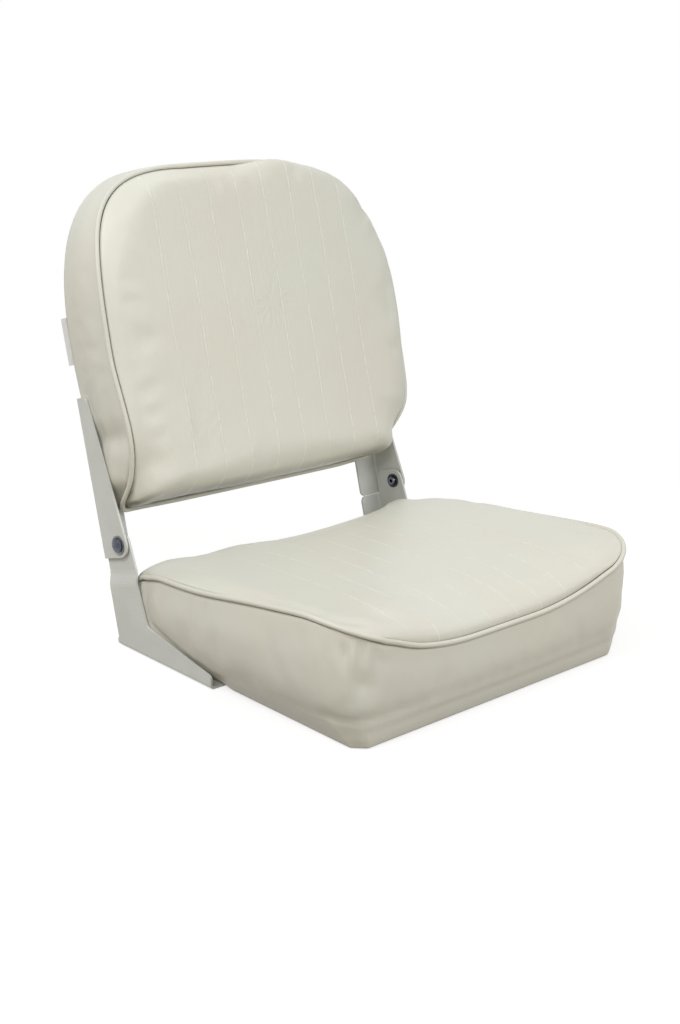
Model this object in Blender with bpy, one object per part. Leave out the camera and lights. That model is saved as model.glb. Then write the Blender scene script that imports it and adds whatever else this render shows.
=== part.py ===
"""Folding boat seat: two vinyl cushions on plywood boards, joined by a pair of pressed steel hinges.

Metres, +Z up, front of the seat towards -Y. The origin is on the bare underside of the seat board,
at the middle of the square of four pedestal nuts.

Both cushions are worked out in cushion coordinates (u, v, w) measured from the pivot axis:
u across the seat, v away from the hinge along the board, w square to the board.
For the seat, v runs forwards and w up. For the backrest, v runs up the arm and w forwards.
"""

import math

import bmesh
import bpy
import numpy as np
from mathutils import Matrix, Vector

# Clearances and stock
FIT = 0.0003
OVERRUN = 0.002
VINYL = 0.0012
FOAM_GAP = 0.0006
FOAM_SPARE = 0.0012
SHEET = 0.0025

# Hinge layout
HINGE_SPAN = 0.400
RECLINE = math.radians(16.3)
PIVOT_DROP = 0.108
FLANGE_BACK = 0.0318
FLANGE_WIDTH = 0.033
FLANGE_CORNER = 0.006
BEND_OUTSIDE = 0.0045
BEND_STEPS = 4
NOSE_RADIUS = 0.0133
SPACER_THICKNESS = 0.0006
STOP_GAP = 0.0004

# Upper arm
ARM_HEIGHT = 0.152
ARM_TOP_WIDTH = 0.0178
ARM_TOP_CORNER = 0.0065
ARM_SCREW_HEIGHTS = (0.062, 0.132)

# Lower bracket
BRACKET_REACH = 0.149
BRACKET_REAR = -0.002
REAR_FLANGE_END = 0.100
LEG_END_HEIGHT = 0.0135
LEG_ANGLE = math.radians(11.0)
LEG_END_CORNER = 0.005
UPRIGHT_ANGLE = math.radians(23.3)
INNER_FILLET = 0.009
JOGGLE_TOP = -0.026
JOGGLE_BOTTOM = -0.043
JOGGLE_STEPS = 6
BRACKET_SCREW_PLACES = (0.027, 0.080, 0.133)
SCREW_INSET = 0.0235

# Pivot rivet and washers
RIVET_RADIUS = 0.0038
RIVET_HEAD_RADIUS = 0.0078
RIVET_HEAD_HEIGHT = 0.0036
RIVET_RIM = 0.0008
RIVET_TAIL_RADIUS = 0.0056
RIVET_TAIL_LENGTH = 0.0020
RIVET_BORE_RADIUS = 0.0022
RIVET_BORE_DEPTH = 0.0048
HEAD_WASHER_RADIUS = 0.0098
HEAD_WASHER_THICKNESS = 0.0010
SPACER_RADIUS = 0.0095
TAIL_WASHER_RADIUS = 0.0080
TAIL_WASHER_THICKNESS = 0.0014
ROUND_STEPS = 20

# Wood screws
SCREW_RADIUS = 0.0021
SCREW_POINT = 0.0030
PAN_HEAD_RADIUS = 0.0045
PAN_HEAD_HEIGHT = 0.0027
FLAT_HEAD_RADIUS = 0.0042
FLAT_HEAD_HEIGHT = 0.0022
BACK_SCREW_LENGTH = 0.0125
SEAT_SCREW_LENGTH = 0.0145
RECESS_WIDTH = 0.0010
RECESS_LENGTH = 0.0042
RECESS_DEPTH = 0.0012
SCREW_STEPS = 12

# Boards and pedestal nuts
SEAT_BOARD = 0.0120
BACK_BOARD = 0.0100
BOARD_INSET = 0.0030
NUT_PITCH = 0.127
NUT_FLANGE_RADIUS = 0.0095
NUT_FLANGE_THICKNESS = 0.0015
NUT_BARREL_RADIUS = 0.0040
NUT_BARREL_LENGTH = 0.0085
NUT_BORE_RADIUS = 0.0032

# Seat cushion
SEAT_REAR = 0.002
SEAT_FRONT = 0.343
SEAT_REAR_ROOM = 0.0053
SEAT_OVERHANG = 0.0155
SEAT_FRONT_DRAW = 0.0037
SEAT_SWELL_START = 0.030
SEAT_WIDEST = 0.200
SEAT_REAR_CORNER = 0.014
SEAT_FRONT_CORNER = 0.049
SEAT_BASE_FRONT = 0.340
SEAT_BASE_ROOM = 0.0115
SEAT_BASE_REAR_CORNER = 0.012
SEAT_BASE_FRONT_CORNER = 0.025
SEAT_BASE_ROUND = 0.0022
SEAT_CORNER_RISE = 0.0116
SEAT_SIDE_SLOPE = 0.108
SEAT_FRONT_SAG = 0.0300
SEAT_FRONT_FLAT = 0.045
SEAT_FRONT_POWER = 1.9
SEAT_REAR_ROUND = 0.090
SEAT_REAR_POWER = 2.6
SEAT_REAR_SEAM = 0.076
SEAT_TOP_SAG = 0.003
SEAT_TOP_ARCH = 0.005
SEAT_TOP_ARCH_SPAN = 0.140
SEAT_BOLSTER_REAR = 0.004
SEAT_BOLSTER_GROWTH = 0.060
SEAT_CENTRE = 0.185
SEAT_FACE_POWER = 1.9
HEM_WIDTH = 0.028
LEG_MARGIN = 0.012
LEG_ROOM = 0.0022

# Back cushion
BACK_BOTTOM = 0.0344
BACK_TOP = 0.3650
BACK_TOP_ARCH = 0.0015
BACK_FOOT_ROOM = 0.0105
BACK_DRAW = 0.0035
BACK_WAIST = 0.045
BACK_WIDEST = 0.185
BACK_SHOULDER = 0.200
BACK_SHOULDER_REACH = 0.120
BACK_SHOULDER_POWER = 2.57
BACK_REAR_TOP = 0.378
BACK_REAR_ARCH = 0.0070
BACK_REAR_POWER = 2.40
BACK_WAIST_POWER = 1.3
BACK_BOTTOM_CORNER = 0.010
BACK_SEAM_LIFT = 0.044
BACK_SEAM_ROUND = 0.105
BACK_SEAM_POWER = 1.35
BACK_CORNER_DIP = 0.015
BACK_FACE = 0.057
BACK_FACE_ARCH = 0.004
BACK_CENTRE = 0.205
BACK_SWELL_SHARE = 0.04
BACK_FACE_POWER = 2.0
BACK_FOOT_POWER = 1.15
ARM_MARGIN = 0.005
ARM_ROOM = 0.0012

# Welt, seams and shoulders shared by both cushions
WELT_RADIUS = 0.0027
WELT_FIT = 0.0005
SEAM_NOTCH = 0.0016
SHOULDER_RATIO = 1.15
SHOULDER_LEAST = 0.010
FACE_DISTANCES = (0.006, 0.014, 0.026, 0.044)
FACE_INNER_SHARES = (0.40, 0.70)

# Tab sewn in the left rear seam of the backrest
TAB_BOTTOM = 0.186
TAB_TOP = 0.234
TAB_REACH = 0.0075
TAB_THICKNESS = 0.0010
TAB_CURL = 0.0012
TAB_STEPS = 4

# Steps round one half of a cushion
REAR_STEPS = 3
SEAT_CORNER_STEPS = 3
SEAT_SIDE_SHARES = (0.0, 0.055, 0.13, 0.24, 0.39, 0.58, 0.79)
FRONT_CORNER_STEPS = 6
FRONT_STEPS = 3
BACK_CORNER_STEPS = 3
BACK_SIDE_SHARES = (0.0, 0.12, 0.27, 0.47, 0.72, 0.80)
BACK_ARC_STEPS = 8

# Height up a cushion's side against how far the side has come out from the base to the seam
TUCK_HEIGHT_SHARES = (0.0, 0.10, 0.25, 0.45, 0.70, 0.90, 1.0)
TUCK_REACH_SHARES = (0.0, 0.30, 0.68, 0.92, 1.03, 1.02, 1.0)
SEAT_BAND_SHARES = (0.10, 0.25, 0.45, 0.70, 0.90)
SEAT_FOAM_SHARES = (0.25, 0.45, 0.90, 1.0)
FOAM_LEAST_SHARE = 0.02
BACK_BAND_SHARES = (0.12, 0.35, 0.62, 0.88)
BACK_FOAM_SHARES = (0.40, 0.88, 1.0)

# Places worked out from the sizes above
HINGE_HALF = HINGE_SPAN / 2
WEB_INNER = HINGE_HALF - SHEET
PLATE_GAP = SPACER_THICKNESS + 2 * FIT
JOGGLE = SHEET + PLATE_GAP
SEAT_HALF_REAR = WEB_INNER - JOGGLE - SEAT_REAR_ROOM
SEAT_HALF_MIDDLE = HINGE_HALF + SEAT_OVERHANG
SEAT_HALF_FRONT = SEAT_HALF_MIDDLE - SEAT_FRONT_DRAW
SEAT_BASE_HALF = WEB_INNER - SEAT_BASE_ROOM
BACK_HALF_BOTTOM = WEB_INNER - BACK_FOOT_ROOM
BACK_HALF = HINGE_HALF - BACK_DRAW
FLANGE_TOP = -NOSE_RADIUS - STOP_GAP
HEM_LEVEL = -PIVOT_DROP + SHEET + FIT
SEAT_BOARD_LEVEL = HEM_LEVEL + VINYL + FIT
SEAT_MIDDLE = (SEAT_REAR + SEAT_BASE_FRONT) / 2
PIVOT = Vector((0, SEAT_MIDDLE, -SEAT_BOARD_LEVEL))
SCREW_LINE = HINGE_HALF - FLANGE_WIDTH + (FLANGE_WIDTH - SCREW_INSET)
REAR_SKIN_LEVEL = -FLANGE_BACK + SHEET + FIT
BACK_BAND_LEVEL = REAR_SKIN_LEVEL + VINYL + FIT
BACK_BOARD_LEVEL = BACK_BAND_LEVEL
FOAM_INSET = VINYL + FOAM_GAP

QUARTER_TURN = math.pi / 2


# Scene helpers

def clear_scene():
    for obj in list(bpy.data.objects):
        bpy.data.objects.remove(obj, do_unlink=True)


def material(name, colour, roughness, metallic=0.0):
    made = bpy.data.materials.new(name)
    made.use_nodes = True
    shader = made.node_tree.nodes["Principled BSDF"]
    shader.inputs["Base Color"].default_value = (*colour, 1.0)
    shader.inputs["Roughness"].default_value = roughness
    shader.inputs["Metallic"].default_value = metallic
    return made


def frame(name, place, turn=0.0):
    """An empty that carries one rigid group, turned about X."""
    made = bpy.data.objects.new(name, None)
    made.location = place
    made.rotation_euler = (turn, 0, 0)
    bpy.context.scene.collection.objects.link(made)
    return made


def add_object(name, bm, carrier, finish):
    mesh = bpy.data.meshes.new(name)
    bm.to_mesh(mesh)
    bm.free()
    return place_mesh(name, mesh, carrier, finish)


def place_mesh(name, mesh, carrier, finish, place=(0, 0, 0), turn=(0, 0, 0)):
    made = bpy.data.objects.new(name, mesh)
    made.parent = carrier
    made.location = place
    made.rotation_euler = turn
    if finish and not mesh.materials:
        mesh.materials.append(finish)
    bpy.context.scene.collection.objects.link(made)
    return made


def smooth(obj, angle=math.radians(35)):
    obj.data.shade_smooth()
    obj.data.set_sharp_from_angle(angle=angle)


def as_cutter(obj):
    obj.hide_render = True
    obj.display_type = "WIRE"
    return obj


def cut(obj, cutter):
    modifier = obj.modifiers.new("holes", "BOOLEAN")
    modifier.operation = "DIFFERENCE"
    modifier.solver = "EXACT"
    modifier.object = cutter


def thicken(obj, thickness):
    modifier = obj.modifiers.new("thickness", "SOLIDIFY")
    modifier.thickness = thickness
    modifier.offset = -1.0
    modifier.use_even_offset = True


# Mesh helpers

def turned(bm, profile, steps, matrix=None, closed=False):
    """Turn (radius, height) pairs about Z. A point on the axis closes the end."""
    rings = []
    for radius, height in profile:
        if radius == 0:
            rings.append([bm.verts.new((0, 0, height))])
            continue
        turn = [2 * math.pi * i / steps for i in range(steps)]
        rings.append([bm.verts.new((radius * math.cos(a), radius * math.sin(a), height)) for a in turn])
    pairs = list(zip(rings, rings[1:]))
    if closed:
        pairs.append((rings[-1], rings[0]))
    for low, high in pairs:
        join_rings(bm, low, high)
    if matrix is not None:
        bmesh.ops.transform(bm, matrix=matrix, verts=[v for ring in rings for v in ring])


def join_rings(bm, low, high):
    count = max(len(low), len(high))
    for i in range(count):
        j = (i + 1) % count
        if len(low) == 1:
            bm.faces.new((low[0], high[j], high[i]))
        elif len(high) == 1:
            bm.faces.new((low[i], low[j], high[0]))
        else:
            bm.faces.new((low[i], low[j], high[j], high[i]))


def ring_surface(rings, cap_start=False):
    """Quads through rings of points, closed at the end where the last ring is one point."""
    bm = bmesh.new()
    made = [[bm.verts.new(point) for point in ring] for ring in rings]
    for low, high in zip(made, made[1:]):
        join_rings(bm, low, high)
    if cap_start:
        bm.faces.new(made[0][::-1])
    return bm


def face_outwards(bm, inside):
    """Flip an open surface so that its faces look away from a point inside it."""
    bmesh.ops.recalc_face_normals(bm, faces=bm.faces)
    outward = sum(f.calc_area() * f.normal.dot(f.calc_center_median() - inside) for f in bm.faces)
    if outward < 0:
        bmesh.ops.reverse_faces(bm, faces=bm.faces)


def prism(outline, low, high, place_point):
    """A closed slab between two levels, from an outline of pairs."""
    bm = bmesh.new()
    bottom = [bm.verts.new(place_point(a, b, low)) for a, b in outline]
    top = [bm.verts.new(place_point(a, b, high)) for a, b in outline]
    bm.faces.new(bottom[::-1])
    bm.faces.new(top)
    join_rings(bm, bottom, top)
    bmesh.ops.recalc_face_normals(bm, faces=bm.faces)
    return bm


def rounded(corners, steps=6):
    """An outline from (point, radius) corners, with an arc at each corner that has a radius."""
    outline = []
    count = len(corners)
    for i, (point, radius) in enumerate(corners):
        here = Vector(point)
        if radius == 0:
            outline.append(here)
            continue
        before = (Vector(corners[i - 1][0]) - here).normalized()
        after = (Vector(corners[(i + 1) % count][0]) - here).normalized()
        half = before.angle(after) / 2
        centre = here + (before + after).normalized() * (radius / math.sin(half))
        start = here + before * (radius / math.tan(half)) - centre
        sweep = math.pi - 2 * half
        side = -1 if before.x * after.y - before.y * after.x > 0 else 1
        for step in range(steps + 1):
            angle = side * sweep * step / steps
            outline.append(centre + Matrix.Rotation(angle, 2) @ start)
    return outline


def crossing(point_a, way_a, point_b, way_b):
    """Where two lines in a plane meet."""
    offset = point_b - point_a
    span = way_a.x * way_b.y - way_a.y * way_b.x
    return point_a + way_a * ((offset.x * way_b.y - offset.y * way_b.x) / span)


# Hinge plates

def fold(bm, start, end, outward, inward, width):
    """Bend a flange off one edge of a plate, with rounded free corners."""
    last = (start, end)
    for step in range(1, BEND_STEPS + 1):
        angle = QUARTER_TURN * step / BEND_STEPS
        shift = outward * math.sin(angle) * BEND_OUTSIDE + inward * (1 - math.cos(angle)) * BEND_OUTSIDE
        new = tuple(bm.verts.new(v.co + shift) for v in (start, end))
        bm.faces.new((last[0], last[1], new[1], new[0]))
        last = new
    along = (end.co - start.co).normalized()
    straight = width - BEND_OUTSIDE
    free = [last[1]]
    for base, way in ((last[1], -along), (last[0], along)):
        centre = base.co + inward * (straight - FLANGE_CORNER) + way * FLANGE_CORNER
        arc = [QUARTER_TURN * i / BEND_STEPS for i in range(BEND_STEPS + 1)]
        if base is last[0]:
            arc.reverse()
        for a in arc:
            corner = centre + (-way * math.cos(a) + inward * math.sin(a)) * FLANGE_CORNER
            free.append(bm.verts.new(corner))
    free.append(last[0])
    bm.faces.new(free)


def plate_surface(outline, folds, side):
    """The outer skin of a bent plate. The outline is in (y, z), and folds name its edges."""
    bm = bmesh.new()
    outer = side * HINGE_HALF
    web = [bm.verts.new((outer, p[0], p[1])) for p in outline]
    bm.faces.new(web)
    inward = Vector((-side, 0, 0))
    for first, second, outward in folds:
        fold(bm, web[first], web[second], Vector((0, *outward)), inward, FLANGE_WIDTH)
    bmesh.ops.recalc_face_normals(bm, faces=bm.faces)
    bm.faces.ensure_lookup_table()
    if bm.faces[0].normal.x * side < 0:
        bmesh.ops.reverse_faces(bm, faces=bm.faces)
    return bm


def arm_outline():
    """Upper arm in its own frame: (y, z), with the flange edge first."""
    rear = FLANGE_BACK - BEND_OUTSIDE
    front_top = Vector((FLANGE_BACK - ARM_TOP_WIDTH, ARM_HEIGHT))
    away = front_top.length
    lean = math.atan2(front_top.x, front_top.y) + math.asin(NOSE_RADIUS / away)
    way = Vector((math.sin(lean), math.cos(lean)))
    nose = crossing(front_top, way, Vector((0, -NOSE_RADIUS)), Vector((1, 0)))
    corners = [
        ((rear, ARM_HEIGHT), 0),
        ((rear, -NOSE_RADIUS), 0),
        (nose, NOSE_RADIUS),
        (front_top, ARM_TOP_CORNER),
    ]
    return rounded(corners, steps=8)


def tilted(v, w):
    """A point along and in front of the reclined arm line, as (y, z) from the pivot."""
    return Vector((v * math.sin(RECLINE) - w * math.cos(RECLINE), v * math.cos(RECLINE) + w * math.sin(RECLINE)))


def leg_top(v):
    """Height of the lower bracket's leg at a distance in front of the pivot."""
    return -PIVOT_DROP + LEG_END_HEIGHT + (BRACKET_REACH - v) * math.tan(LEG_ANGLE)


def bracket_outline():
    """Lower bracket from the pivot: (y, z), with both flange edges at the start."""
    rear = -FLANGE_BACK + BEND_OUTSIDE
    down = tilted(-1, 0)
    bend_top = tilted(FLANGE_TOP, rear)
    bend_end = crossing(bend_top, down, Vector((0, -REAR_FLANGE_END)), Vector((1, 0)))
    foot = -PIVOT_DROP + BEND_OUTSIDE
    upright_way = Vector((-math.sin(UPRIGHT_ANGLE), -math.cos(UPRIGHT_ANGLE)))
    upright_start = Vector((-math.cos(UPRIGHT_ANGLE), math.sin(UPRIGHT_ANGLE))) * NOSE_RADIUS
    across = tilted(0, 1)
    nose = crossing(upright_start, upright_way, tilted(NOSE_RADIUS, 0), across)
    leg_start = Vector((-BRACKET_REACH, leg_top(BRACKET_REACH)))
    leg_way = Vector((math.cos(LEG_ANGLE), math.sin(LEG_ANGLE)))
    crook = crossing(upright_start, upright_way, leg_start, leg_way)
    corners = [
        (bend_top, 0),
        (bend_end, 0),
        ((-BRACKET_REAR, -REAR_FLANGE_END), 0),
        ((-BRACKET_REAR, foot), 0),
        ((-BRACKET_REACH, foot), 0),
        (leg_start, LEG_END_CORNER),
        (crook, INNER_FILLET),
        (nose, NOSE_RADIUS),
        (tilted(NOSE_RADIUS, rear), NOSE_RADIUS),
    ]
    return rounded(corners)


def joggle(bm, side):
    """Step the upright in towards the seat, so that it passes inside the upper arm."""
    along = tilted(1, 0)
    normal = Vector((0, along.x, along.y))
    for step in range(JOGGLE_STEPS + 1):
        level = JOGGLE_BOTTOM + (JOGGLE_TOP - JOGGLE_BOTTOM) * step / JOGGLE_STEPS
        geometry = bm.verts[:] + bm.edges[:] + bm.faces[:]
        bmesh.ops.bisect_plane(bm, geom=geometry, plane_co=normal * level, plane_no=normal, dist=FIT / 100)
    for vert in bm.verts:
        rise = (vert.co.dot(normal) - JOGGLE_BOTTOM) / (JOGGLE_TOP - JOGGLE_BOTTOM)
        rise = min(1.0, max(0.0, rise))
        ease = rise * rise * (3 - 2 * rise)
        from_edge = (abs(vert.co.x) - (HINGE_HALF - FLANGE_WIDTH)) / (FLANGE_WIDTH - BEND_OUTSIDE)
        vert.co.x -= side * JOGGLE * ease * min(1.0, max(0.0, from_edge))


def side_turn(side):
    """Turn a shape made along +Z so that +Z points out of one side of the seat."""
    return Matrix.Rotation(side * QUARTER_TURN, 4, "Y")


def cylinder_cutter(name, places, radius, low, high, carrier, way=None):
    """One cutter of several cylinders, each at a place, along Z or along way."""
    bm = bmesh.new()
    turn = way if way is not None else Matrix.Identity(4)
    for place in places:
        profile = [(0, low), (radius, low), (radius, high), (0, high)]
        turned(bm, profile, SCREW_STEPS, Matrix.Translation(place) @ turn)
    bmesh.ops.recalc_face_normals(bm, faces=bm.faces)
    return as_cutter(add_object(name, bm, carrier, None))


def seat_screw_places(side):
    return [Vector((side * SCREW_LINE, -v, -PIVOT_DROP)) for v in BRACKET_SCREW_PLACES]


def back_screw_places(side):
    return [Vector((side * SCREW_LINE, FLANGE_BACK, v)) for v in ARM_SCREW_HEIGHTS]


def head_bevel(name, places, carrier, turn):
    """Countersinks for flat heads, with a clearance round each."""
    bm = bmesh.new()
    radius = FLAT_HEAD_RADIUS + FIT
    shank = SCREW_RADIUS + FIT
    profile = [(0, -OVERRUN), (radius, -OVERRUN), (radius, FIT)]
    profile += [(shank, FLAT_HEAD_HEIGHT + FIT), (shank, SEAT_SCREW_LENGTH + FIT), (0, SEAT_SCREW_LENGTH + FIT)]
    for place in places:
        turned(bm, profile, SCREW_STEPS, Matrix.Translation(place) @ turn)
    bmesh.ops.recalc_face_normals(bm, faces=bm.faces)
    return as_cutter(add_object(name, bm, carrier, None))


def build_hinges(seat, back, steel):
    outline = arm_outline()
    lower = bracket_outline()
    rear_way = tilted(0, -1)
    for side, word in ((-1, "left"), (1, "right")):
        arm = add_object(f"upper_arm_{word}", plate_surface(outline, [(0, 1, (1, 0))], side), back, steel)
        thicken(arm, SHEET)
        holes = [Vector(place) for place in back_screw_places(side)]
        along_y = Matrix.Rotation(QUARTER_TURN, 4, "X")
        radius = SCREW_RADIUS + FIT
        cut(arm, cylinder_cutter(f"arm_holes_{word}", holes, radius, -OVERRUN, SHEET + OVERRUN, back, along_y))
        smooth(arm)

        folds = [(0, 1, rear_way), (3, 4, (0, -1))]
        skin = plate_surface(lower, folds, side)
        joggle(skin, side)
        bracket = add_object(f"lower_bracket_{word}", skin, seat, steel)
        thicken(bracket, SHEET)
        cut(bracket, head_bevel(f"bracket_holes_{word}", seat_screw_places(side), seat, Matrix.Identity(4)))
        smooth(bracket)

        eye = [Vector((side * WEB_INNER, 0, 0))]
        reach = SHEET + JOGGLE + OVERRUN
        for plate, carrier in ((arm, back), (bracket, seat)):
            name = f"pivot_hole_{plate.name}"
            cut(plate, cylinder_cutter(name, eye, RIVET_RADIUS + FIT, -reach, reach, carrier, side_turn(side)))


# Pivot rivets and washers

def ring_profile(inner, outer, low, high):
    return [(inner, low), (outer, low), (outer, high), (inner, high)]


def add_turned(name, profile, steps, matrix, carrier, finish, closed=False):
    bm = bmesh.new()
    turned(bm, profile, steps, matrix, closed)
    bmesh.ops.recalc_face_normals(bm, faces=bm.faces)
    obj = add_object(name, bm, carrier, finish)
    smooth(obj)
    return obj


def build_pivots(seat, steel, nylon, black):
    """The stack from outside to inside: head, washer, arm, spacer, bracket, tail washer, flared tail."""
    washer_low = HINGE_HALF + FIT
    head_low = washer_low + HEAD_WASHER_THICKNESS + FIT
    spacer_low = WEB_INNER - FIT - SPACER_THICKNESS
    tail_washer_high = WEB_INNER - JOGGLE - FIT
    tail_high = tail_washer_high - TAIL_WASHER_THICKNESS - FIT
    tail_low = tail_high - RIVET_TAIL_LENGTH
    hole = RIVET_RADIUS + FIT
    dome = []
    dome_steps = 5
    for i in range(dome_steps + 1):
        angle = QUARTER_TURN * i / dome_steps
        height = head_low + RIVET_RIM + (RIVET_HEAD_HEIGHT - RIVET_RIM) * math.sin(angle)
        dome.append((RIVET_HEAD_RADIUS * math.cos(angle) if i < dome_steps else 0, height))
    flare = (RIVET_TAIL_RADIUS + RIVET_RADIUS) / 2
    rivet = [(0, tail_low + RIVET_BORE_DEPTH), (RIVET_BORE_RADIUS, tail_low + RIVET_BORE_DEPTH)]
    rivet += [(RIVET_BORE_RADIUS, tail_low), (flare, tail_low)]
    rivet += [(RIVET_TAIL_RADIUS, tail_low + RIVET_TAIL_LENGTH / 2), (RIVET_TAIL_RADIUS, tail_high)]
    rivet += [(RIVET_RADIUS, tail_high), (RIVET_RADIUS, head_low), (RIVET_HEAD_RADIUS, head_low)]
    rivet += dome
    washer = ring_profile(hole, HEAD_WASHER_RADIUS, washer_low, washer_low + HEAD_WASHER_THICKNESS)
    spacer = ring_profile(hole, SPACER_RADIUS, spacer_low, spacer_low + SPACER_THICKNESS)
    tail = ring_profile(hole, TAIL_WASHER_RADIUS, tail_washer_high - TAIL_WASHER_THICKNESS, tail_washer_high)
    for side, word in ((-1, "left"), (1, "right")):
        turn = side_turn(side)
        add_turned(f"pivot_rivet_{word}", rivet, ROUND_STEPS, turn, seat, steel)
        add_turned(f"head_washer_{word}", washer, ROUND_STEPS, turn, seat, steel, closed=True)
        add_turned(f"pivot_spacer_{word}", spacer, ROUND_STEPS, turn, seat, nylon, closed=True)
        add_turned(f"tail_washer_{word}", tail, ROUND_STEPS, turn, seat, black, closed=True)


# Screws and pedestal nuts

def recessed_screw(name, profile, top, finish):
    """A screw along -Z from its head, with a cross recess cut in the top of the head."""
    bm = bmesh.new()
    turned(bm, profile, SCREW_STEPS)
    bmesh.ops.recalc_face_normals(bm, faces=bm.faces)
    blank = add_object(name + "_blank", bm, None, finish)
    cross = bmesh.new()
    long, short = RECESS_LENGTH / 2, RECESS_WIDTH / 2
    plus = [(long, -short), (long, short), (short, short), (short, long), (-short, long), (-short, short)]
    plus += [(-long, short), (-long, -short), (-short, -short), (-short, -long), (short, -long), (short, -short)]
    low = [cross.verts.new((x, y, top - RECESS_DEPTH)) for x, y in plus]
    high = [cross.verts.new((x, y, top + OVERRUN)) for x, y in plus]
    cross.faces.new(low[::-1])
    cross.faces.new(high)
    join_rings(cross, low, high)
    bmesh.ops.recalc_face_normals(cross, faces=cross.faces)
    cutter = as_cutter(add_object(name + "_cross", cross, None, None))
    cut(blank, cutter)
    bpy.context.view_layer.update()
    shape = blank.evaluated_get(bpy.context.evaluated_depsgraph_get())
    mesh = bpy.data.meshes.new_from_object(shape)
    mesh.name = name
    for obj in (blank, cutter):
        bpy.data.objects.remove(obj, do_unlink=True)
    mesh.shade_smooth()
    mesh.set_sharp_from_angle(angle=math.radians(35))
    return mesh


def screw_shank(length, start):
    return [(SCREW_RADIUS, start), (SCREW_RADIUS, -length + SCREW_POINT), (0, -length)]


def build_screws(seat, back, steel):
    rim = PAN_HEAD_HEIGHT / 3
    crown = PAN_HEAD_RADIUS * math.cos(QUARTER_TURN / 2)
    pan = [(0, PAN_HEAD_HEIGHT), (crown, PAN_HEAD_HEIGHT * math.sin(QUARTER_TURN * 2 / 3))]
    pan += [(PAN_HEAD_RADIUS, rim), (PAN_HEAD_RADIUS, 0)]
    pan_mesh = recessed_screw("pan_screw", pan + screw_shank(BACK_SCREW_LENGTH, 0), PAN_HEAD_HEIGHT, steel)
    flat = [(0, 0), (FLAT_HEAD_RADIUS, 0), (FLAT_HEAD_RADIUS, -FIT)]
    flat_mesh = recessed_screw("flat_screw", flat + screw_shank(SEAT_SCREW_LENGTH, -FLAT_HEAD_HEIGHT), 0, steel)
    for side, word in ((-1, "left"), (1, "right")):
        for number, place in enumerate(back_screw_places(side), 1):
            seated = place + Vector((0, FIT, 0))
            place_mesh(f"back_screw_{word}_{number}", pan_mesh, back, steel, seated, (-QUARTER_TURN, 0, 0))
        for number, place in enumerate(seat_screw_places(side), 1):
            seated = place + Vector((0, 0, FIT / 2))
            place_mesh(f"seat_screw_{word}_{number}", flat_mesh, seat, steel, seated, (math.pi, 0, 0))


def nut_places():
    half = NUT_PITCH / 2
    middle = -SEAT_MIDDLE
    names = (("front_left", -1, -1), ("front_right", 1, -1), ("rear_left", -1, 1), ("rear_right", 1, 1))
    return [(name, Vector((x * half, middle + y * half, SEAT_BOARD_LEVEL))) for name, x, y in names]


def build_nuts(seat, steel):
    top = SEAT_BOARD - FIT
    shelf = top - NUT_FLANGE_THICKNESS
    end = top - NUT_BARREL_LENGTH
    profile = [(NUT_BORE_RADIUS, end), (NUT_BARREL_RADIUS, end), (NUT_BARREL_RADIUS, shelf)]
    profile += [(NUT_FLANGE_RADIUS, shelf), (NUT_FLANGE_RADIUS, top), (NUT_BORE_RADIUS, top)]
    for name, place in nut_places():
        turn = Matrix.Translation(place)
        add_turned(f"tee_nut_{name}", profile, ROUND_STEPS, turn, seat, steel, closed=True)


def nut_hole_cutter(seat):
    bm = bmesh.new()
    wide, narrow = NUT_FLANGE_RADIUS + FIT, NUT_BARREL_RADIUS + FIT
    step = SEAT_BOARD - NUT_FLANGE_THICKNESS - 2 * FIT
    profile = [(0, -OVERRUN), (narrow, -OVERRUN), (narrow, step), (wide, step)]
    profile += [(wide, SEAT_BOARD + OVERRUN), (0, SEAT_BOARD + OVERRUN)]
    for _, place in nut_places():
        turned(bm, profile, ROUND_STEPS, Matrix.Translation(place))
    bmesh.ops.recalc_face_normals(bm, faces=bm.faces)
    return as_cutter(add_object("tee_nut_holes", bm, seat, None))


# Cushion outlines, as half loops from the hinge side's middle to the far side's middle

def whole_loop(half):
    """Close a half loop with its mirror image."""
    return half + [Vector((-p.x, p.y, p.z)) for p in reversed(half[1:-1])]


def seat_half_loop(half_width, rear, front, rear_corner, front_corner):
    points = []
    rear_centre = Vector((half_width(rear + rear_corner) - rear_corner, rear + rear_corner))
    for i in range(REAR_STEPS):
        points.append(Vector((rear_centre.x * i / REAR_STEPS, rear)))
    for i in range(SEAT_CORNER_STEPS):
        angle = QUARTER_TURN * i / SEAT_CORNER_STEPS
        points.append(rear_centre + Vector((math.sin(angle), -math.cos(angle))) * rear_corner)
    side_start, side_end = rear + rear_corner, front - front_corner
    for share in SEAT_SIDE_SHARES:
        v = side_start + (side_end - side_start) * share
        points.append(Vector((half_width(v), v)))
    front_centre = Vector((half_width(side_end) - front_corner, side_end))
    for i in range(FRONT_CORNER_STEPS):
        angle = QUARTER_TURN * i / FRONT_CORNER_STEPS
        points.append(front_centre + Vector((math.cos(angle), math.sin(angle))) * front_corner)
    for i in range(FRONT_STEPS + 1):
        points.append(Vector((front_centre.x * (1 - i / FRONT_STEPS), front)))
    return points


def seat_half_width(v):
    """The seam swells out in front of the brackets and draws in a little at the front."""
    swell = min(1.0, max(0.0, (v - SEAT_SWELL_START) / (SEAT_WIDEST - SEAT_SWELL_START)))
    width = SEAT_HALF_REAR + (SEAT_HALF_MIDDLE - SEAT_HALF_REAR) * (1 - (1 - swell) ** 3)
    past = max(0.0, (v - SEAT_WIDEST) / (SEAT_FRONT - SEAT_FRONT_CORNER - SEAT_WIDEST))
    return width - (SEAT_HALF_MIDDLE - SEAT_HALF_FRONT) * past * past


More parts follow.
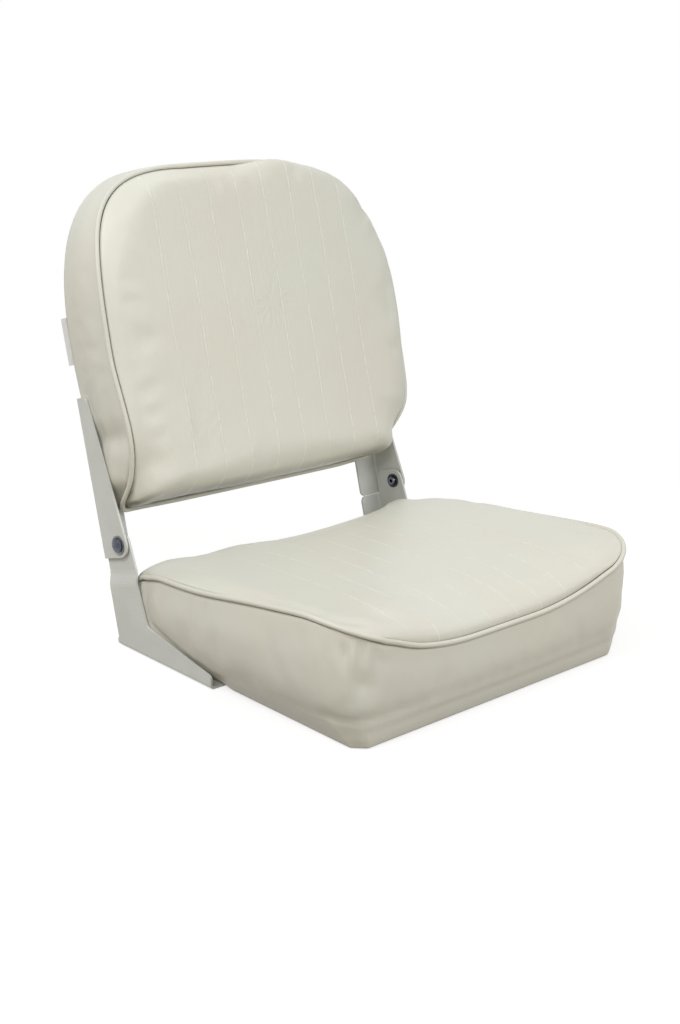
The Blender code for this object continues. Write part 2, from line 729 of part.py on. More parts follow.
def seat_seam_height(u, v):
    """The seam rises forwards, rounds down at the rear and dips across the front."""
    corner = SEAT_FRONT - SEAT_FRONT_CORNER
    if v > corner:
        out = max(0.0, (abs(u) - SEAT_FRONT_FLAT) / (SEAT_HALF_FRONT - SEAT_FRONT_FLAT))
        return -SEAT_FRONT_SAG + (SEAT_CORNER_RISE + SEAT_FRONT_SAG) * out ** SEAT_FRONT_POWER
    if v > SEAT_REAR_ROUND:
        return SEAT_CORNER_RISE - SEAT_SIDE_SLOPE * (corner - v)
    crest = SEAT_CORNER_RISE - SEAT_SIDE_SLOPE * (corner - SEAT_REAR_ROUND)
    back = min(1.0, (SEAT_REAR_ROUND - v) / (SEAT_REAR_ROUND - SEAT_REAR))
    left = (1 - back ** SEAT_REAR_POWER) ** (1 / SEAT_REAR_POWER)
    return -SEAT_REAR_SEAM + (crest + SEAT_REAR_SEAM) * left


def seat_seam():
    half = seat_half_loop(seat_half_width, SEAT_REAR, SEAT_FRONT, SEAT_REAR_CORNER, SEAT_FRONT_CORNER)
    return whole_loop([Vector((p.x, p.y, seat_seam_height(p.x, p.y))) for p in half])


def seat_base(inset=0.0, level=HEM_LEVEL):
    def width(_):
        return SEAT_BASE_HALF - inset
    rear_corner = max(SEAT_BASE_REAR_CORNER - inset, FIT)
    front_corner = max(SEAT_BASE_FRONT_CORNER - inset, FIT)
    half = seat_half_loop(width, SEAT_REAR + inset, SEAT_BASE_FRONT - inset, rear_corner, front_corner)
    return whole_loop([Vector((p.x, p.y, level)) for p in half])


def seat_top(u, v):
    """The level of the seat's top away from its edges: low in the middle, with raised sides."""
    along = (v - SEAT_WIDEST) / SEAT_TOP_ARCH_SPAN
    bolster = SEAT_BOLSTER_REAR + SEAT_BOLSTER_GROWTH * max(0.0, v - SEAT_REAR_ROUND / 2)
    across = u / SEAT_HALF_MIDDLE
    return -SEAT_TOP_SAG - SEAT_TOP_ARCH * along * along + bolster * across * across


def beside_bracket(point, spare=0.0):
    """Keep a cushion's side clear of the lower bracket's leg."""
    margin = LEG_MARGIN + spare + spare
    near = point.y < BRACKET_REACH + margin and point.z < leg_top(point.y) + margin
    limit = WEB_INNER - LEG_ROOM - spare
    if near and abs(point.x) > limit:
        return Vector((math.copysign(limit, point.x), point.y, point.z))
    return point


def back_half_width(v):
    """The back narrows towards the hinge."""
    below = min(1.0, max(0.0, (BACK_WIDEST - v) / (BACK_WIDEST - BACK_WAIST)))
    return BACK_HALF - (BACK_HALF - BACK_HALF_BOTTOM) * below ** BACK_WAIST_POWER


def back_half_loop(top, arch, power):
    points = []
    corner = Vector((back_half_width(BACK_BOTTOM) - BACK_BOTTOM_CORNER, BACK_BOTTOM + BACK_BOTTOM_CORNER))
    for i in range(REAR_STEPS):
        points.append(Vector((corner.x * i / REAR_STEPS, BACK_BOTTOM)))
    for i in range(BACK_CORNER_STEPS):
        angle = QUARTER_TURN * i / BACK_CORNER_STEPS
        points.append(corner + Vector((math.sin(angle), -math.cos(angle))) * BACK_BOTTOM_CORNER)
    for share in BACK_SIDE_SHARES:
        v = corner.y + (BACK_SHOULDER - corner.y) * share
        points.append(Vector((back_half_width(v), v)))
    inner = BACK_HALF - BACK_SHOULDER_REACH
    for i in range(BACK_ARC_STEPS):
        angle = QUARTER_TURN * i / BACK_ARC_STEPS
        out = math.cos(angle) ** (2 / power)
        up = math.sin(angle) ** (2 / power)
        points.append(Vector((inner + BACK_SHOULDER_REACH * out, BACK_SHOULDER + (top - BACK_SHOULDER) * up)))
    for i in range(FRONT_STEPS + 1):
        u = inner * (1 - i / FRONT_STEPS)
        points.append(Vector((u, top + arch * (1 - (u / inner) ** 2))))
    return points


def back_seam_height(u, v):
    """The seam comes back to the board at the bottom and dips at the top corners."""
    below = min(1.0, max(0.0, (BACK_SEAM_ROUND - v) / (BACK_SEAM_ROUND - BACK_BOTTOM)))
    lift = BACK_SEAM_LIFT * (1 - below ** BACK_SEAM_POWER) ** (1 / BACK_SEAM_POWER)
    out = max(0.0, abs(u) - (BACK_HALF - BACK_SHOULDER_REACH)) / BACK_SHOULDER_REACH
    up = max(0.0, v - BACK_SHOULDER) / (BACK_TOP - BACK_SHOULDER)
    angle = math.atan2(up, out)
    return lift - BACK_CORNER_DIP * math.sin(2 * angle) ** 2 * min(1.0, out + up)


def back_seam():
    half = back_half_loop(BACK_TOP, BACK_TOP_ARCH, BACK_SHOULDER_POWER)
    return whole_loop([Vector((p.x, p.y, back_seam_height(p.x, p.y))) for p in half])


def back_rear(level):
    half = back_half_loop(BACK_REAR_TOP, BACK_REAR_ARCH, BACK_REAR_POWER)
    return whole_loop([beside_arm(Vector((p.x, p.y, level))) for p in half])


def back_face(u, v):
    across = u / BACK_HALF
    return BACK_FACE - BACK_FACE_ARCH * across * across


def beside_arm(point, spare=0.0):
    """Keep the back cushion's side clear of the upper arm's web."""
    arm_front = -FLANGE_BACK + ARM_TOP_WIDTH + (ARM_HEIGHT - point.y) * NOSE_RADIUS * 2 / ARM_HEIGHT
    near = point.y < ARM_HEIGHT + ARM_MARGIN and point.z < arm_front + ARM_MARGIN
    limit = WEB_INNER - ARM_ROOM - spare
    if near and abs(point.x) > limit:
        return Vector((math.copysign(limit, point.x), point.y, point.z))
    return point


# Cushion surfaces

def tucked(base, seam, share, spare=0.0):
    """A point on the seat's side band, drawn in towards the board at the bottom."""
    reach = float(np.interp(share, TUCK_HEIGHT_SHARES, TUCK_REACH_SHARES))
    plan = base.xy.lerp(seam.xy, reach)
    height = base.z + (seam.z - base.z) * share
    return beside_bracket(Vector((plan.x, plan.y, height)), spare)


def swollen(base, seam, share, spare=0.0):
    """A point on the back's side band, a little proud half way."""
    point = base.lerp(seam, share)
    outward = Vector((point.x, point.y - BACK_CENTRE, 0)).normalized()
    swell = BACK_SWELL_SHARE * (seam.z - base.z) * math.sin(math.pi * share)
    return beside_arm(point + outward * swell, spare)


def seat_power(_):
    return SEAT_FACE_POWER


def back_power(seam):
    """The face leaves the seam flatter towards the bottom of the back."""
    up = min(1.0, (seam.y - BACK_BOTTOM) / (BACK_SEAM_ROUND - BACK_BOTTOM))
    return BACK_FOOT_POWER + (BACK_FACE_POWER - BACK_FOOT_POWER) * up


def face_point(seam, distance, centre, level, power):
    """A point on a cushion's face, a distance in from the seam towards the middle."""
    way = Vector((-seam.x, centre - seam.y))
    plan = seam.xy + way.normalized() * distance
    drop = level(seam.x, seam.y) - seam.z
    shoulder = SHOULDER_LEAST + SHOULDER_RATIO * abs(drop)
    left = max(0.0, 1 - distance / shoulder)
    bend = power(seam)
    fall = 1 - (1 - left ** bend) ** (1 / bend)
    return Vector((plan.x, plan.y, level(plan.x, plan.y) - drop * fall))


def face_rings(seam, centre, level, power):
    rings = []
    for distance in FACE_DISTANCES:
        rings.append([face_point(p, distance, centre, level, power) for p in seam])
    for share in FACE_INNER_SHARES:
        ring = []
        for p in seam:
            whole = math.hypot(p.x, centre - p.y)
            start = FACE_DISTANCES[-1]
            ring.append(face_point(p, start + (whole - start) * share, centre, level, power))
        rings.append(ring)
    rings.append([Vector((0, centre, level(0, centre)))])
    return rings


def square_to(way, along):
    """The part of a direction that is square to the seam."""
    return way - along * way.dot(along)


def seam_ways(seam):
    count = len(seam)
    return [(seam[(i + 1) % count] - seam[i - 1]).normalized() for i in range(count)]


def rim_towards(seam, ring):
    """The edge of a panel, set back from the seam to leave room for the welt."""
    rim = []
    for p, q, along in zip(seam, ring, seam_ways(seam)):
        way = (q - p).normalized()
        rim.append(p + way * (SEAM_NOTCH / square_to(way, along).length))
    return rim


def welt_path(seam, face, band, centre):
    """The welt's centre line, seated in the notch between the two panels."""
    path = []
    reach = WELT_RADIUS + WELT_FIT
    for p, f, b, way in zip(seam, face, band, seam_ways(seam)):
        to_face = square_to(f - p, way).normalized()
        to_band = square_to(b - p, way).normalized()
        inward = (to_face + to_band).normalized()
        half = to_face.angle(to_band) / 2
        depth = SEAM_NOTCH * math.cos(half)
        if inward.dot(Vector((-p.x, centre - p.y, 0))) < 0:
            inward, depth = -inward, -depth
        spread = SEAM_NOTCH * math.sin(half)
        path.append(p - inward * (math.sqrt(reach * reach - spread * spread) - depth))
    return path


def panel(name, rings, place_point, inside, carrier, finish):
    """A sewn vinyl panel: an open surface of rings with the vinyl's thickness behind it."""
    bm = ring_surface([[place_point(p) for p in ring] for ring in rings])
    face_outwards(bm, inside)
    obj = add_object(name, bm, carrier, finish)
    thicken(obj, VINYL)
    smooth(obj, math.radians(50))
    return obj


def foam_core(name, rings, floor, place_point, inside, carrier, finish):
    """The foam inside the cover, flat where it lies on the board."""
    bm = ring_surface([[place_point(p) for p in ring] for ring in rings], cap_start=True)
    face_outwards(bm, inside)
    bm.normal_update()
    moved = [(vert, vert.normal * FOAM_INSET * vert.calc_shell_factor()) for vert in bm.verts]
    for vert, shift in moved:
        vert.co -= shift
    bm.verts.ensure_lookup_table()
    for index, point in enumerate(floor):
        bm.verts[index].co = place_point(point)
    obj = add_object(name, bm, carrier, finish)
    smooth(obj, math.radians(50))
    return obj


def welt(name, path, place_point, carrier, finish):
    curve = bpy.data.curves.new(name, "CURVE")
    curve.dimensions = "3D"
    curve.bevel_depth = WELT_RADIUS
    curve.bevel_resolution = 1
    spline = curve.splines.new("POLY")
    spline.points.add(len(path) - 1)
    for point, place in zip(spline.points, path):
        point.co = (*place_point(place), 1.0)
    spline.use_cyclic_u = True
    return place_mesh(name, curve, carrier, finish)


def shrunk(loop, inset, centre):
    """A loop drawn in towards the middle by about one inset all round."""
    result = []
    for p in loop:
        way = Vector((-p.x, centre - p.y))
        limit = max(abs(way.x), abs(way.y))
        step = Vector((way.x / limit, way.y / limit)) * inset
        result.append(Vector((p.x + step.x, p.y + step.y, p.z)))
    return result


def foam_sides(base, seam, low_shares, row_shares, surface):
    """Rows up the foam's side, which start above the board even where the side is low."""
    rows = []
    for number, row in enumerate(row_shares, 1):
        shares = [max(row, low + FOAM_LEAST_SHARE * number) for low in low_shares]
        rows.append([surface(b, s, min(1.0, share), FOAM_SPARE) for b, s, share in zip(base, seam, shares)])
    return rows


def on_seat(point):
    return Vector((point.x, -point.y, point.z))


def on_back(point):
    return Vector((point.x, -point.z, point.y))


def build_seat(seat, vinyl, foam, wood):
    seam = seat_seam()
    base = seat_base(level=HEM_LEVEL + SEAT_BASE_ROUND)
    inside = on_seat(Vector((0, SEAT_CENTRE, -SEAT_REAR_SEAM / 2)))
    face = face_rings(seam, SEAT_CENTRE, seat_top, seat_power)
    band = [[tucked(b, s, share) for b, s in zip(base, seam)] for share in SEAT_BAND_SHARES]

    top_rim = rim_towards(seam, face[0])
    panel("seat_top_panel", [top_rim] + face, on_seat, inside, seat, vinyl)

    hem = [seat_base(inset=HEM_WIDTH), seat_base(inset=SEAT_BASE_ROUND), base]
    skirt = panel("seat_boxing", hem + band + [rim_towards(seam, band[-1])], on_seat, inside, seat, vinyl)
    places = seat_screw_places(-1) + seat_screw_places(1)
    radius = SCREW_RADIUS + FIT
    cut(skirt, cylinder_cutter("hem_holes", places, radius, SHEET, SEAT_SCREW_LENGTH, seat))

    welt("seat_piping", welt_path(seam, face[0], band[-1], SEAT_CENTRE), on_seat, seat, vinyl)

    floor_level = SEAT_BOARD_LEVEL + SEAT_BOARD + FIT
    shares = [(floor_level - base[0].z) / (s.z - base[0].z) for s in seam]
    low_ring = [tucked(b, s, share, FOAM_SPARE) for b, s, share in zip(base, seam, shares)]
    sides = foam_sides(base, seam, shares, SEAT_FOAM_SHARES, tucked)
    floor = shrunk(low_ring, 2 * FOAM_INSET, SEAT_CENTRE)
    foam_core("seat_foam", [low_ring] + sides + face, floor, on_seat, inside, seat, foam)

    outline = seat_base(inset=BOARD_INSET)
    slab = prism([(p.x, p.y) for p in outline], SEAT_BOARD_LEVEL, SEAT_BOARD_LEVEL + SEAT_BOARD,
                 lambda u, v, w: on_seat(Vector((u, v, w))))
    board = add_object("seat_board", slab, seat, wood)
    cut(board, nut_hole_cutter(seat))
    cut(board, cylinder_cutter("seat_pilot_holes", places, radius, SHEET, SEAT_SCREW_LENGTH + FIT, seat))


def build_back(back, vinyl, foam, wood):
    seam = back_seam()
    base = back_rear(BACK_BAND_LEVEL)
    inside = on_back(Vector((0, BACK_CENTRE, 0)))
    face = face_rings(seam, BACK_CENTRE, back_face, back_power)
    band = [[swollen(b, s, share) for b, s in zip(base, seam)] for share in BACK_BAND_SHARES]

    panel("back_face_panel", [rim_towards(seam, face[0])] + face, on_back, inside, back, vinyl)
    panel("back_boxing", [base] + band + [rim_towards(seam, band[-1])], on_back, inside, back, vinyl)
    welt("back_piping", welt_path(seam, face[0], band[-1], BACK_CENTRE), on_back, back, vinyl)

    floor_level = BACK_BOARD_LEVEL + BACK_BOARD + FIT
    shares = [(floor_level - b.z) / (s.z - b.z) for b, s in zip(base, seam)]
    low_ring = [swollen(b, s, share, FOAM_SPARE) for b, s, share in zip(base, seam, shares)]
    sides = foam_sides(base, seam, shares, BACK_FOAM_SHARES, swollen)
    floor = shrunk(low_ring, 2 * FOAM_INSET, BACK_CENTRE)
    foam_core("back_foam", [low_ring] + sides + face, floor, on_back, inside, back, foam)

    def place(u, v, w):
        return on_back(Vector((u, v, w)))
    outline = shrunk(base, BOARD_INSET, BACK_CENTRE)
    slab = prism([(p.x, p.y) for p in outline], BACK_BOARD_LEVEL, BACK_BOARD_LEVEL + BACK_BOARD, place)
    board = add_object("back_board", slab, back, wood)
    skin = prism([(p.x, p.y) for p in base], REAR_SKIN_LEVEL, REAR_SKIN_LEVEL + VINYL, place)
    rear = add_object("back_rear_panel", skin, back, vinyl)
    places = back_screw_places(-1) + back_screw_places(1)
    along_y = Matrix.Rotation(QUARTER_TURN, 4, "X")
    holes = (places, SCREW_RADIUS + FIT, SHEET, BACK_SCREW_LENGTH + FIT, back, along_y)
    cut(board, cylinder_cutter("back_pilot_holes", *holes))
    cut(rear, cylinder_cutter("rear_panel_holes", *holes))


def build_tab(back, ribbon):
    """A bare folded ribbon caught in the left rear seam, standing out behind it."""
    bm = bmesh.new()
    edge = BACK_HALF - TAB_THICKNESS
    rows = []
    for i in range(TAB_STEPS + 1):
        share = i / TAB_STEPS
        y = -REAR_SKIN_LEVEL + FIT + TAB_REACH * share
        x = -edge - TAB_CURL * share * share
        rows.append([bm.verts.new((x, y, z)) for z in (TAB_BOTTOM, TAB_TOP)])
    for low, high in zip(rows, rows[1:]):
        bm.faces.new((low[0], low[1], high[1], high[0]))
    bmesh.ops.recalc_face_normals(bm, faces=bm.faces)
    tab = add_object("seam_tab", bm, back, ribbon)
    thicken(tab, TAB_THICKNESS)


def main():
    clear_scene()
    vinyl = material("marine_vinyl", (0.70, 0.67, 0.58), 0.45)
    foam = material("cushion_foam", (0.80, 0.74, 0.55), 0.95)
    wood = material("plywood", (0.52, 0.37, 0.22), 0.75)
    coated = material("powder_coated_steel", (0.60, 0.61, 0.58), 0.35)
    plated = material("zinc_plated_steel", (0.55, 0.57, 0.60), 0.30, 0.9)
    nylon = material("nylon", (0.75, 0.74, 0.70), 0.5)
    black = material("blackened_steel", (0.03, 0.03, 0.035), 0.4, 0.6)
    ribbon = material("tab_ribbon", (0.80, 0.80, 0.78), 0.8)

    seat = frame("seat_frame", PIVOT)
    back = frame("back_pivot", PIVOT, -RECLINE)
    build_seat(seat, vinyl, foam, wood)
    build_back(back, vinyl, foam, wood)
    build_hinges(seat, back, coated)
    build_pivots(seat, plated, nylon, black)
    build_screws(seat, back, plated)
    build_nuts(seat, plated)
    build_tab(back, ribbon)


main()
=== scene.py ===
"""Folding boat seat: covers, piping, finishes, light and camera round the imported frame."""

import math

import bmesh
import bpy
import numpy as np
from mathutils import Matrix, Vector
from mathutils.kdtree import KDTree


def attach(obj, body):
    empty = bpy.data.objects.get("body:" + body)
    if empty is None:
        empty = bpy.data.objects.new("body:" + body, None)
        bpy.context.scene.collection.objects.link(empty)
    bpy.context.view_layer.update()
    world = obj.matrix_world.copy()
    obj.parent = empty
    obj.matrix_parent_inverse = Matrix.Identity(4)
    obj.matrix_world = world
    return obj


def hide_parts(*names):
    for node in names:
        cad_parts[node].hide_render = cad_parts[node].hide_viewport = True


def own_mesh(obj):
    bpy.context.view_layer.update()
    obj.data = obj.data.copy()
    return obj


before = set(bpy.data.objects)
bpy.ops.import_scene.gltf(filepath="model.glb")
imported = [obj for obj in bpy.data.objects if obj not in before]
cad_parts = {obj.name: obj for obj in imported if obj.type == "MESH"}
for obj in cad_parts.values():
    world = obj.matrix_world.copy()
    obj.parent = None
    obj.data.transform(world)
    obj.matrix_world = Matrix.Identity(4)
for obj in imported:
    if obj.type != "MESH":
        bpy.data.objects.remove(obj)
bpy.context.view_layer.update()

# Lengths are in metres. A pair used by ramp() is where it starts and how far it takes; one used by bell() is
# its middle and its reach. SIDE pairs go outwards from the middle, LEFT and RIGHT ones to that side, and
# ALONG ones from the rear or the bottom.

# Frame layout, as in the CAD
PIVOT = np.array((0.0, 0.171, 0.1037))
RECLINE = math.radians(16.3)
PIVOT_DROP = 0.108
SHEET = 0.0025
HINGE_HALF = 0.200
WEB_INNER = HINGE_HALF - SHEET
JOGGLE = 0.0037
BRACKET_REACH = 0.149
LEG_END_HEIGHT = 0.0135
LEG_ANGLE = math.radians(11.0)
NOSE_RADIUS = 0.0133
FLANGE_BACK = 0.0318
UPRIGHT_ANGLE = math.radians(23.3)
JOGGLE_TOP, JOGGLE_BOTTOM = -0.026, -0.043
ARM_HEIGHT = 0.152
ARM_TOP_WIDTH = 0.0178
VINYL = 0.0012
FIT = 0.0003
BRACKET_GAP, BRACKET_ROOM, BRACKET_SOFT = 0.0015, 0.0010, 0.010
ARM_GAP, ARM_ROOM, ARM_SOFT = 0.001, 0.0008, 0.008
SKIN_ROOM, SEAT_SKIN_SOFT, BACK_SKIN_SOFT = 0.0006, 0.009, 0.007

# Seat cushion
SEAT_REAR, SEAT_FRONT = 0.002, 0.343
SEAT_HALF_REAR = WEB_INNER - JOGGLE - 0.0053
SEAT_HALF_MIDDLE = HINGE_HALF + 0.0155
SEAT_HALF_FRONT = SEAT_HALF_MIDDLE - 0.0037
SEAT_SWELL_START, SEAT_WIDEST, SEAT_SWELL_POWER = 0.030, 0.200, 3
SEAT_REAR_CORNER, SEAT_FRONT_CORNER = 0.014, 0.049
SEAT_BASE_FRONT = 0.340
SEAT_BASE_HALF = WEB_INNER - 0.0115
SEAT_BASE_REAR_CORNER, SEAT_BASE_FRONT_CORNER = 0.012, 0.016
SEAT_BASE_ROUND = 0.0022
SEAT_CORNER_RISE, SEAT_SIDE_SLOPE = 0.0116, 0.108
SEAT_FRONT_SAG, SEAT_FRONT_FLAT, SEAT_FRONT_POWER = 0.0300, 0.045, 1.9
SEAT_REAR_ROUND, SEAT_REAR_POWER, SEAT_REAR_SEAM = 0.090, 2.6, 0.076
SEAT_TOP_SAG, SEAT_TOP_ARCH, SEAT_TOP_ARCH_SPAN = 0.003, 0.005, 0.140
SEAT_BOLSTER_REAR, SEAT_BOLSTER_GROWTH = 0.004, 0.060
SEAT_CENTRE = 0.185
SEAT_FACE_POWER, SEAT_SIDE_POWER, SEAT_POWER_SIDE = 2.0, 1.5, (0.120, 0.060)
SEAT_SHOULDER, SEAT_ROLL, SEAT_ROLL_SHARE = 1.15, 0.0016, 0.4
SEAT_SEAM_EASE = 2.2
SEAT_TUCK = 0.0006
HEM_LEVEL = -PIVOT_DROP + SHEET + FIT
BOARD_LEVEL = HEM_LEVEL + VINYL + FIT
BOARD_TOP = BOARD_LEVEL + 0.0120 + FIT
HEM_WIDTH, BOARD_INSET, BOARD_OVERLAP, BOARD_MIDDLE = 0.028, 0.003, 0.0004, 0.060
HEM_TURN, HEM_TURN_SHARE, HEM_TURN_RISE, HEM_LOW_SHARE = 0.002, 0.4, 0.0006, 1.5
HEM_SAG, HEM_SAG_GAP, HEM_SAG_SPAN, HEM_CHAMFER = 0.0022, 0.002, 0.014, 0.0125
HEEL_DIP, HEEL_DIP_LEFT, HEEL_DIP_ALONG = 0.0040, (0.090, 0.060), (0.060, 0.080)
HEEL_DROP, HEEL_DROP_SIDE, HEEL_DROP_ALONG = 0.0090, (0.150, 0.030), (0.042, 0.030)
CORNER_LIFT, CORNER_LIFT_LEFT, CORNER_LIFT_ALONG = 0.0036, (0.120, 0.040), (0.140, 0.100)
SEAT_BELLY, BELLY_LEAST, BELLY_ALONG, BELLY_LENGTHWAYS = 0.0042, 0.55, (0.10, 0.12), 1.2

# Back cushion
BACK_BOTTOM, BACK_TOP, BACK_TOP_ARCH = 0.0344, 0.3665, 0.0015
BACK_HALF_BOTTOM = WEB_INNER - 0.0105
BACK_HALF = HINGE_HALF - 0.0035
BACK_WAIST, BACK_WIDEST, BACK_WAIST_POWER = 0.045, 0.185, 1.3
BACK_SHOULDER, BACK_SHOULDER_REACH, BACK_SHOULDER_POWER = 0.200, 0.120, 2.57
BACK_REAR_TOP, BACK_REAR_ARCH, BACK_REAR_POWER = 0.378, 0.0070, 2.40
BACK_BOTTOM_CORNER = 0.010
BACK_SEAM_LIFT, BACK_SEAM_ROUND, BACK_SEAM_POWER, BACK_SEAM_EASE = 0.044, 0.105, 1.35, 2.6
BACK_CORNER_DIP = 0.015
BACK_FACE, BACK_FACE_ARCH, BACK_CENTRE = 0.057, 0.004, 0.205
BACK_SWELL_SHARE = 0.064
BACK_TUCK, BACK_TUCK_ROLLED = 0.0004, 0.0024
BACK_STATIONS = 150
REAR_SKIN_LEVEL = -FLANGE_BACK + SHEET + FIT
BAND_LEVEL = REAR_SKIN_LEVEL + VINYL + FIT
REAR_TURN = 0.0012
REAR_SHARES = (0.8, 0.55, 0.3)
REAR_INSETS = ((0.020, 0.0), (0.008, 0.0), (0.0042, 0.0), (0.0026, 0.0007), (0.0012, 0.0001),
               (0.0003, 0.0007))
FACE_POWER_UPPER, FACE_POWER_LOW, FACE_POWER_FOOT, FACE_POWER_ROLLED = 1.15, 1.3, 2.3, 2.6
SHOULDER_UPPER, SHOULDER_LOW, SHOULDER_FOOT, SHOULDER_LOW_ALONG = 0.50, 0.80, 0.42, (0.100, 0.100)
ROLL_LEFT, ROLL_SIDE, ROLL_TOP, ROLL_FOOT = 0.0008, 0.0032, 0.0060, 0.0022
ROLL_FOOT_SIDE, ROLL_FOOT_CLEAR, ROLL_FOOT_SPAN = (0.060, 0.060), 0.006, 0.032
ROLLED_RIGHT, ROLLED_ALONG, ROLLED_HIGH = (-0.015, 0.075), (0.06, 0.16), (0.27, 0.07)
SET_BACK_RIGHT = 0.004
SET_BACK_CORNER, SET_BACK_SIDE, SET_BACK_SPAN = 0.0150, (0.100, 0.085), 0.018
LEFT_SIDE = (0.120, 0.050)
LEFT_FORWARD, LEFT_FORWARD_ALONG = 0.0040, (0.285, 0.035)
LEFT_SET_BACK, LEFT_SET_BACK_ALONG = 0.0050, (0.190, 0.045)
LEFT_FULLNESS, LEFT_OUT_SHARE, ELBOW_ACROSS, ELBOW_ALONG = 0.0060, 0.2, (-0.165, 0.045), (0.20, 0.08)
TOP_ALONG = (0.24, 0.09)
TOP_LEAN, TOP_LEAN_RIGHT = 0.0095, (0.03, 0.10)
TOP_CREST, TOP_CREST_ACROSS = 0.0018, (0.04, 0.03)
TOP_DRAW, TOP_DRAW_RIGHT, TOP_DRAW_ALONG = 0.0020, (0.09, 0.06), (0.26, 0.06)
FOOT_TAPER, FOOT_SET_BACK, FOOT_RIGHT, FOOT_CLEAR, FOOT_SPAN = 0.016, 0.006, (0.100, 0.080), 0.008, 0.050
REAR_DROP_LEFT, REAR_DROP_RIGHT = 0.0055, 0.0110
REAR_DROP_ACROSS, REAR_DROP_ALONG = (-0.06, 0.08), (0.30, 0.07)
BOARD_SPARE, BOARD_THICK, BOARD_EDGE_SPAN = 0.0018, 0.0104, 0.008

# Rows of the covers: knots of the side curves, and how far each row lies from the seam
BELLY_HEIGHTS = (0.0, 0.25, 0.33, 0.50, 0.72, 0.90, 1.0)
BELLY_REACHES = (0.0, 0.72, 0.92, 1.0, 0.80, 0.40, 0.0)
FILL_HEIGHTS = (0.0, 0.12, 0.30, 0.70, 0.90, 1.0)
FILL_REACHES = (0.0, 0.55, 0.95, 0.95, 0.60, 0.0)
TUCK_HEIGHTS = (0.0, 0.10, 0.25, 0.45, 0.70, 0.90, 1.0)
TUCK_REACHES = (0.0, 0.30, 0.68, 0.92, 1.03, 1.02, 1.0)
FACE_STEPS = (0.0016, 0.0032, 0.0050, 0.0072, 0.0100, 0.0135, 0.0180, 0.0235, 0.0300, 0.0375, 0.0460)
FACE_SHARES = (0.07, 0.15, 0.24, 0.34, 0.45, 0.57, 0.70, 0.84)
BAND_SHARES = np.array([0.04, 0.08, 0.12, 0.16, 0.20, 0.24, 0.28, 0.33, 0.39, 0.46, 0.54, 0.62, 0.70, 0.78,
                        0.85, 0.91, 0.955])
CURVE_START, CURVE_END, CURVE_COUNT, CURVE_EASE, CURVE_REACH = -0.2, 1.2, 561, 0.022, 40
SHOULDER_LEAST, ROLL_REACH, ROLL_POWER, ROW_EASE = 0.010, 0.018, 0.6, 0.55
FILL_ROOM, FILL_SIDE, SEAT_FILL_ALONG, SEAT_FILL_END = 0.0012, (0.165, 0.012), (0.006, 0.012), 0.16
BACK_FILL_ALONG, BACK_FILL_RIGHT, BACK_FILL_FADE = (0.048, 0.018), (0.070, 0.03), (0.16, 0.06)
SLIT_ALONG, SLIT_DEPTH = (0.108, 0.013), 0.0036

# Seams and piping
FRAME_EASE = 1.5
SEAM_NOTCH, SEAM_SINK, RIM_TUCK, RIM_SHARE, VALLEY_SHARE = 0.0016, 0.0013, 0.0005, 1.5, 0.5
WELT_RADIUS, WELT_FIT, CORD_RADIUS = 0.0027, 0.0002, 0.0026
CORD_SIDES, CORD_WANDER, CORD_WANDER_EASE, CORD_SIDE_EASE, CORD_ROUNDS = 12, 0.05, 3.0, 1.0, 3

# Pleats and creases
PLEAT_PITCH, PLEAT_COUNT = 0.0364, 4
PLEAT_HALF, PLEAT_FADE, PLEAT_HEIGHT, PLEAT_WELD = 0.0010, 0.0070, 0.00028, 0.0001
PLEAT_SWING, PLEAT_WAVES, PLEAT_STAGGER = 0.0006, 37.0, 60.0
PLEAT_FLAT, PLEAT_FLAT_SPAN = 0.86, 0.10
CREASE_REACH, CREASE_TAPER = 0.012, 2.2
RIDGE_SHARE, RIDGE_PLACE, RIDGE_WIDTH = 0.45, 1.9, 0.9
rng = np.random.default_rng(7)


# Placing

def seat_to_row(p):
    p = np.asarray(p, float)
    return np.stack([p[..., 0], PIVOT[1] - p[..., 1], PIVOT[2] + p[..., 2]], axis=-1)


def row_to_seat(p):
    return np.stack([p[..., 0], PIVOT[1] - p[..., 1], p[..., 2] - PIVOT[2]], axis=-1)


def back_to_row(p):
    p = np.asarray(p, float)
    c, s = math.cos(RECLINE), math.sin(RECLINE)
    return np.stack([p[..., 0], PIVOT[1] - p[..., 2] * c + p[..., 1] * s,
                     PIVOT[2] + p[..., 2] * s + p[..., 1] * c], axis=-1)


def row_to_back(p):
    c, s = math.cos(RECLINE), math.sin(RECLINE)
    y, z = p[..., 1] - PIVOT[1], p[..., 2] - PIVOT[2]
    return np.stack([p[..., 0], y * s + z * c, -y * c + z * s], axis=-1)


def ramp(x, start, span):
    """0 up to the start, 1 past the span, and a soft rise between."""
    x = np.clip((x - start) / span, 0.0, 1.0)
    return x * x * (3 - 2 * x)


def bell(x, middle, reach):
    return np.exp(-((x - middle) / reach) ** 2)


def limited(x):
    return min(1.0, max(0.0, x))


def ring_smooth(values, sigma):
    """Gaussian smoothing round a closed ring, sigma in stations."""
    f = np.fft.rfftfreq(values.shape[0])
    gain = np.exp(-2 * (math.pi * sigma * f) ** 2)
    if values.ndim == 2:
        gain = gain[:, None]
    return np.fft.irfft(np.fft.rfft(values, axis=0) * gain, n=values.shape[0], axis=0)


def unit(v):
    return v / np.maximum(np.linalg.norm(v, axis=-1, keepdims=True), 1e-12)


def run_lengths(steps):
    """How far along a chain of steps each of its ends lies."""
    return np.concatenate([[0], np.cumsum(np.linalg.norm(steps, axis=1))])


def to_middle(loop, centre):
    return np.column_stack([-loop[:, 0], centre - loop[:, 1]])


# Outlines. Each is a half loop from the rear or the bottom, mirrored into a whole one.

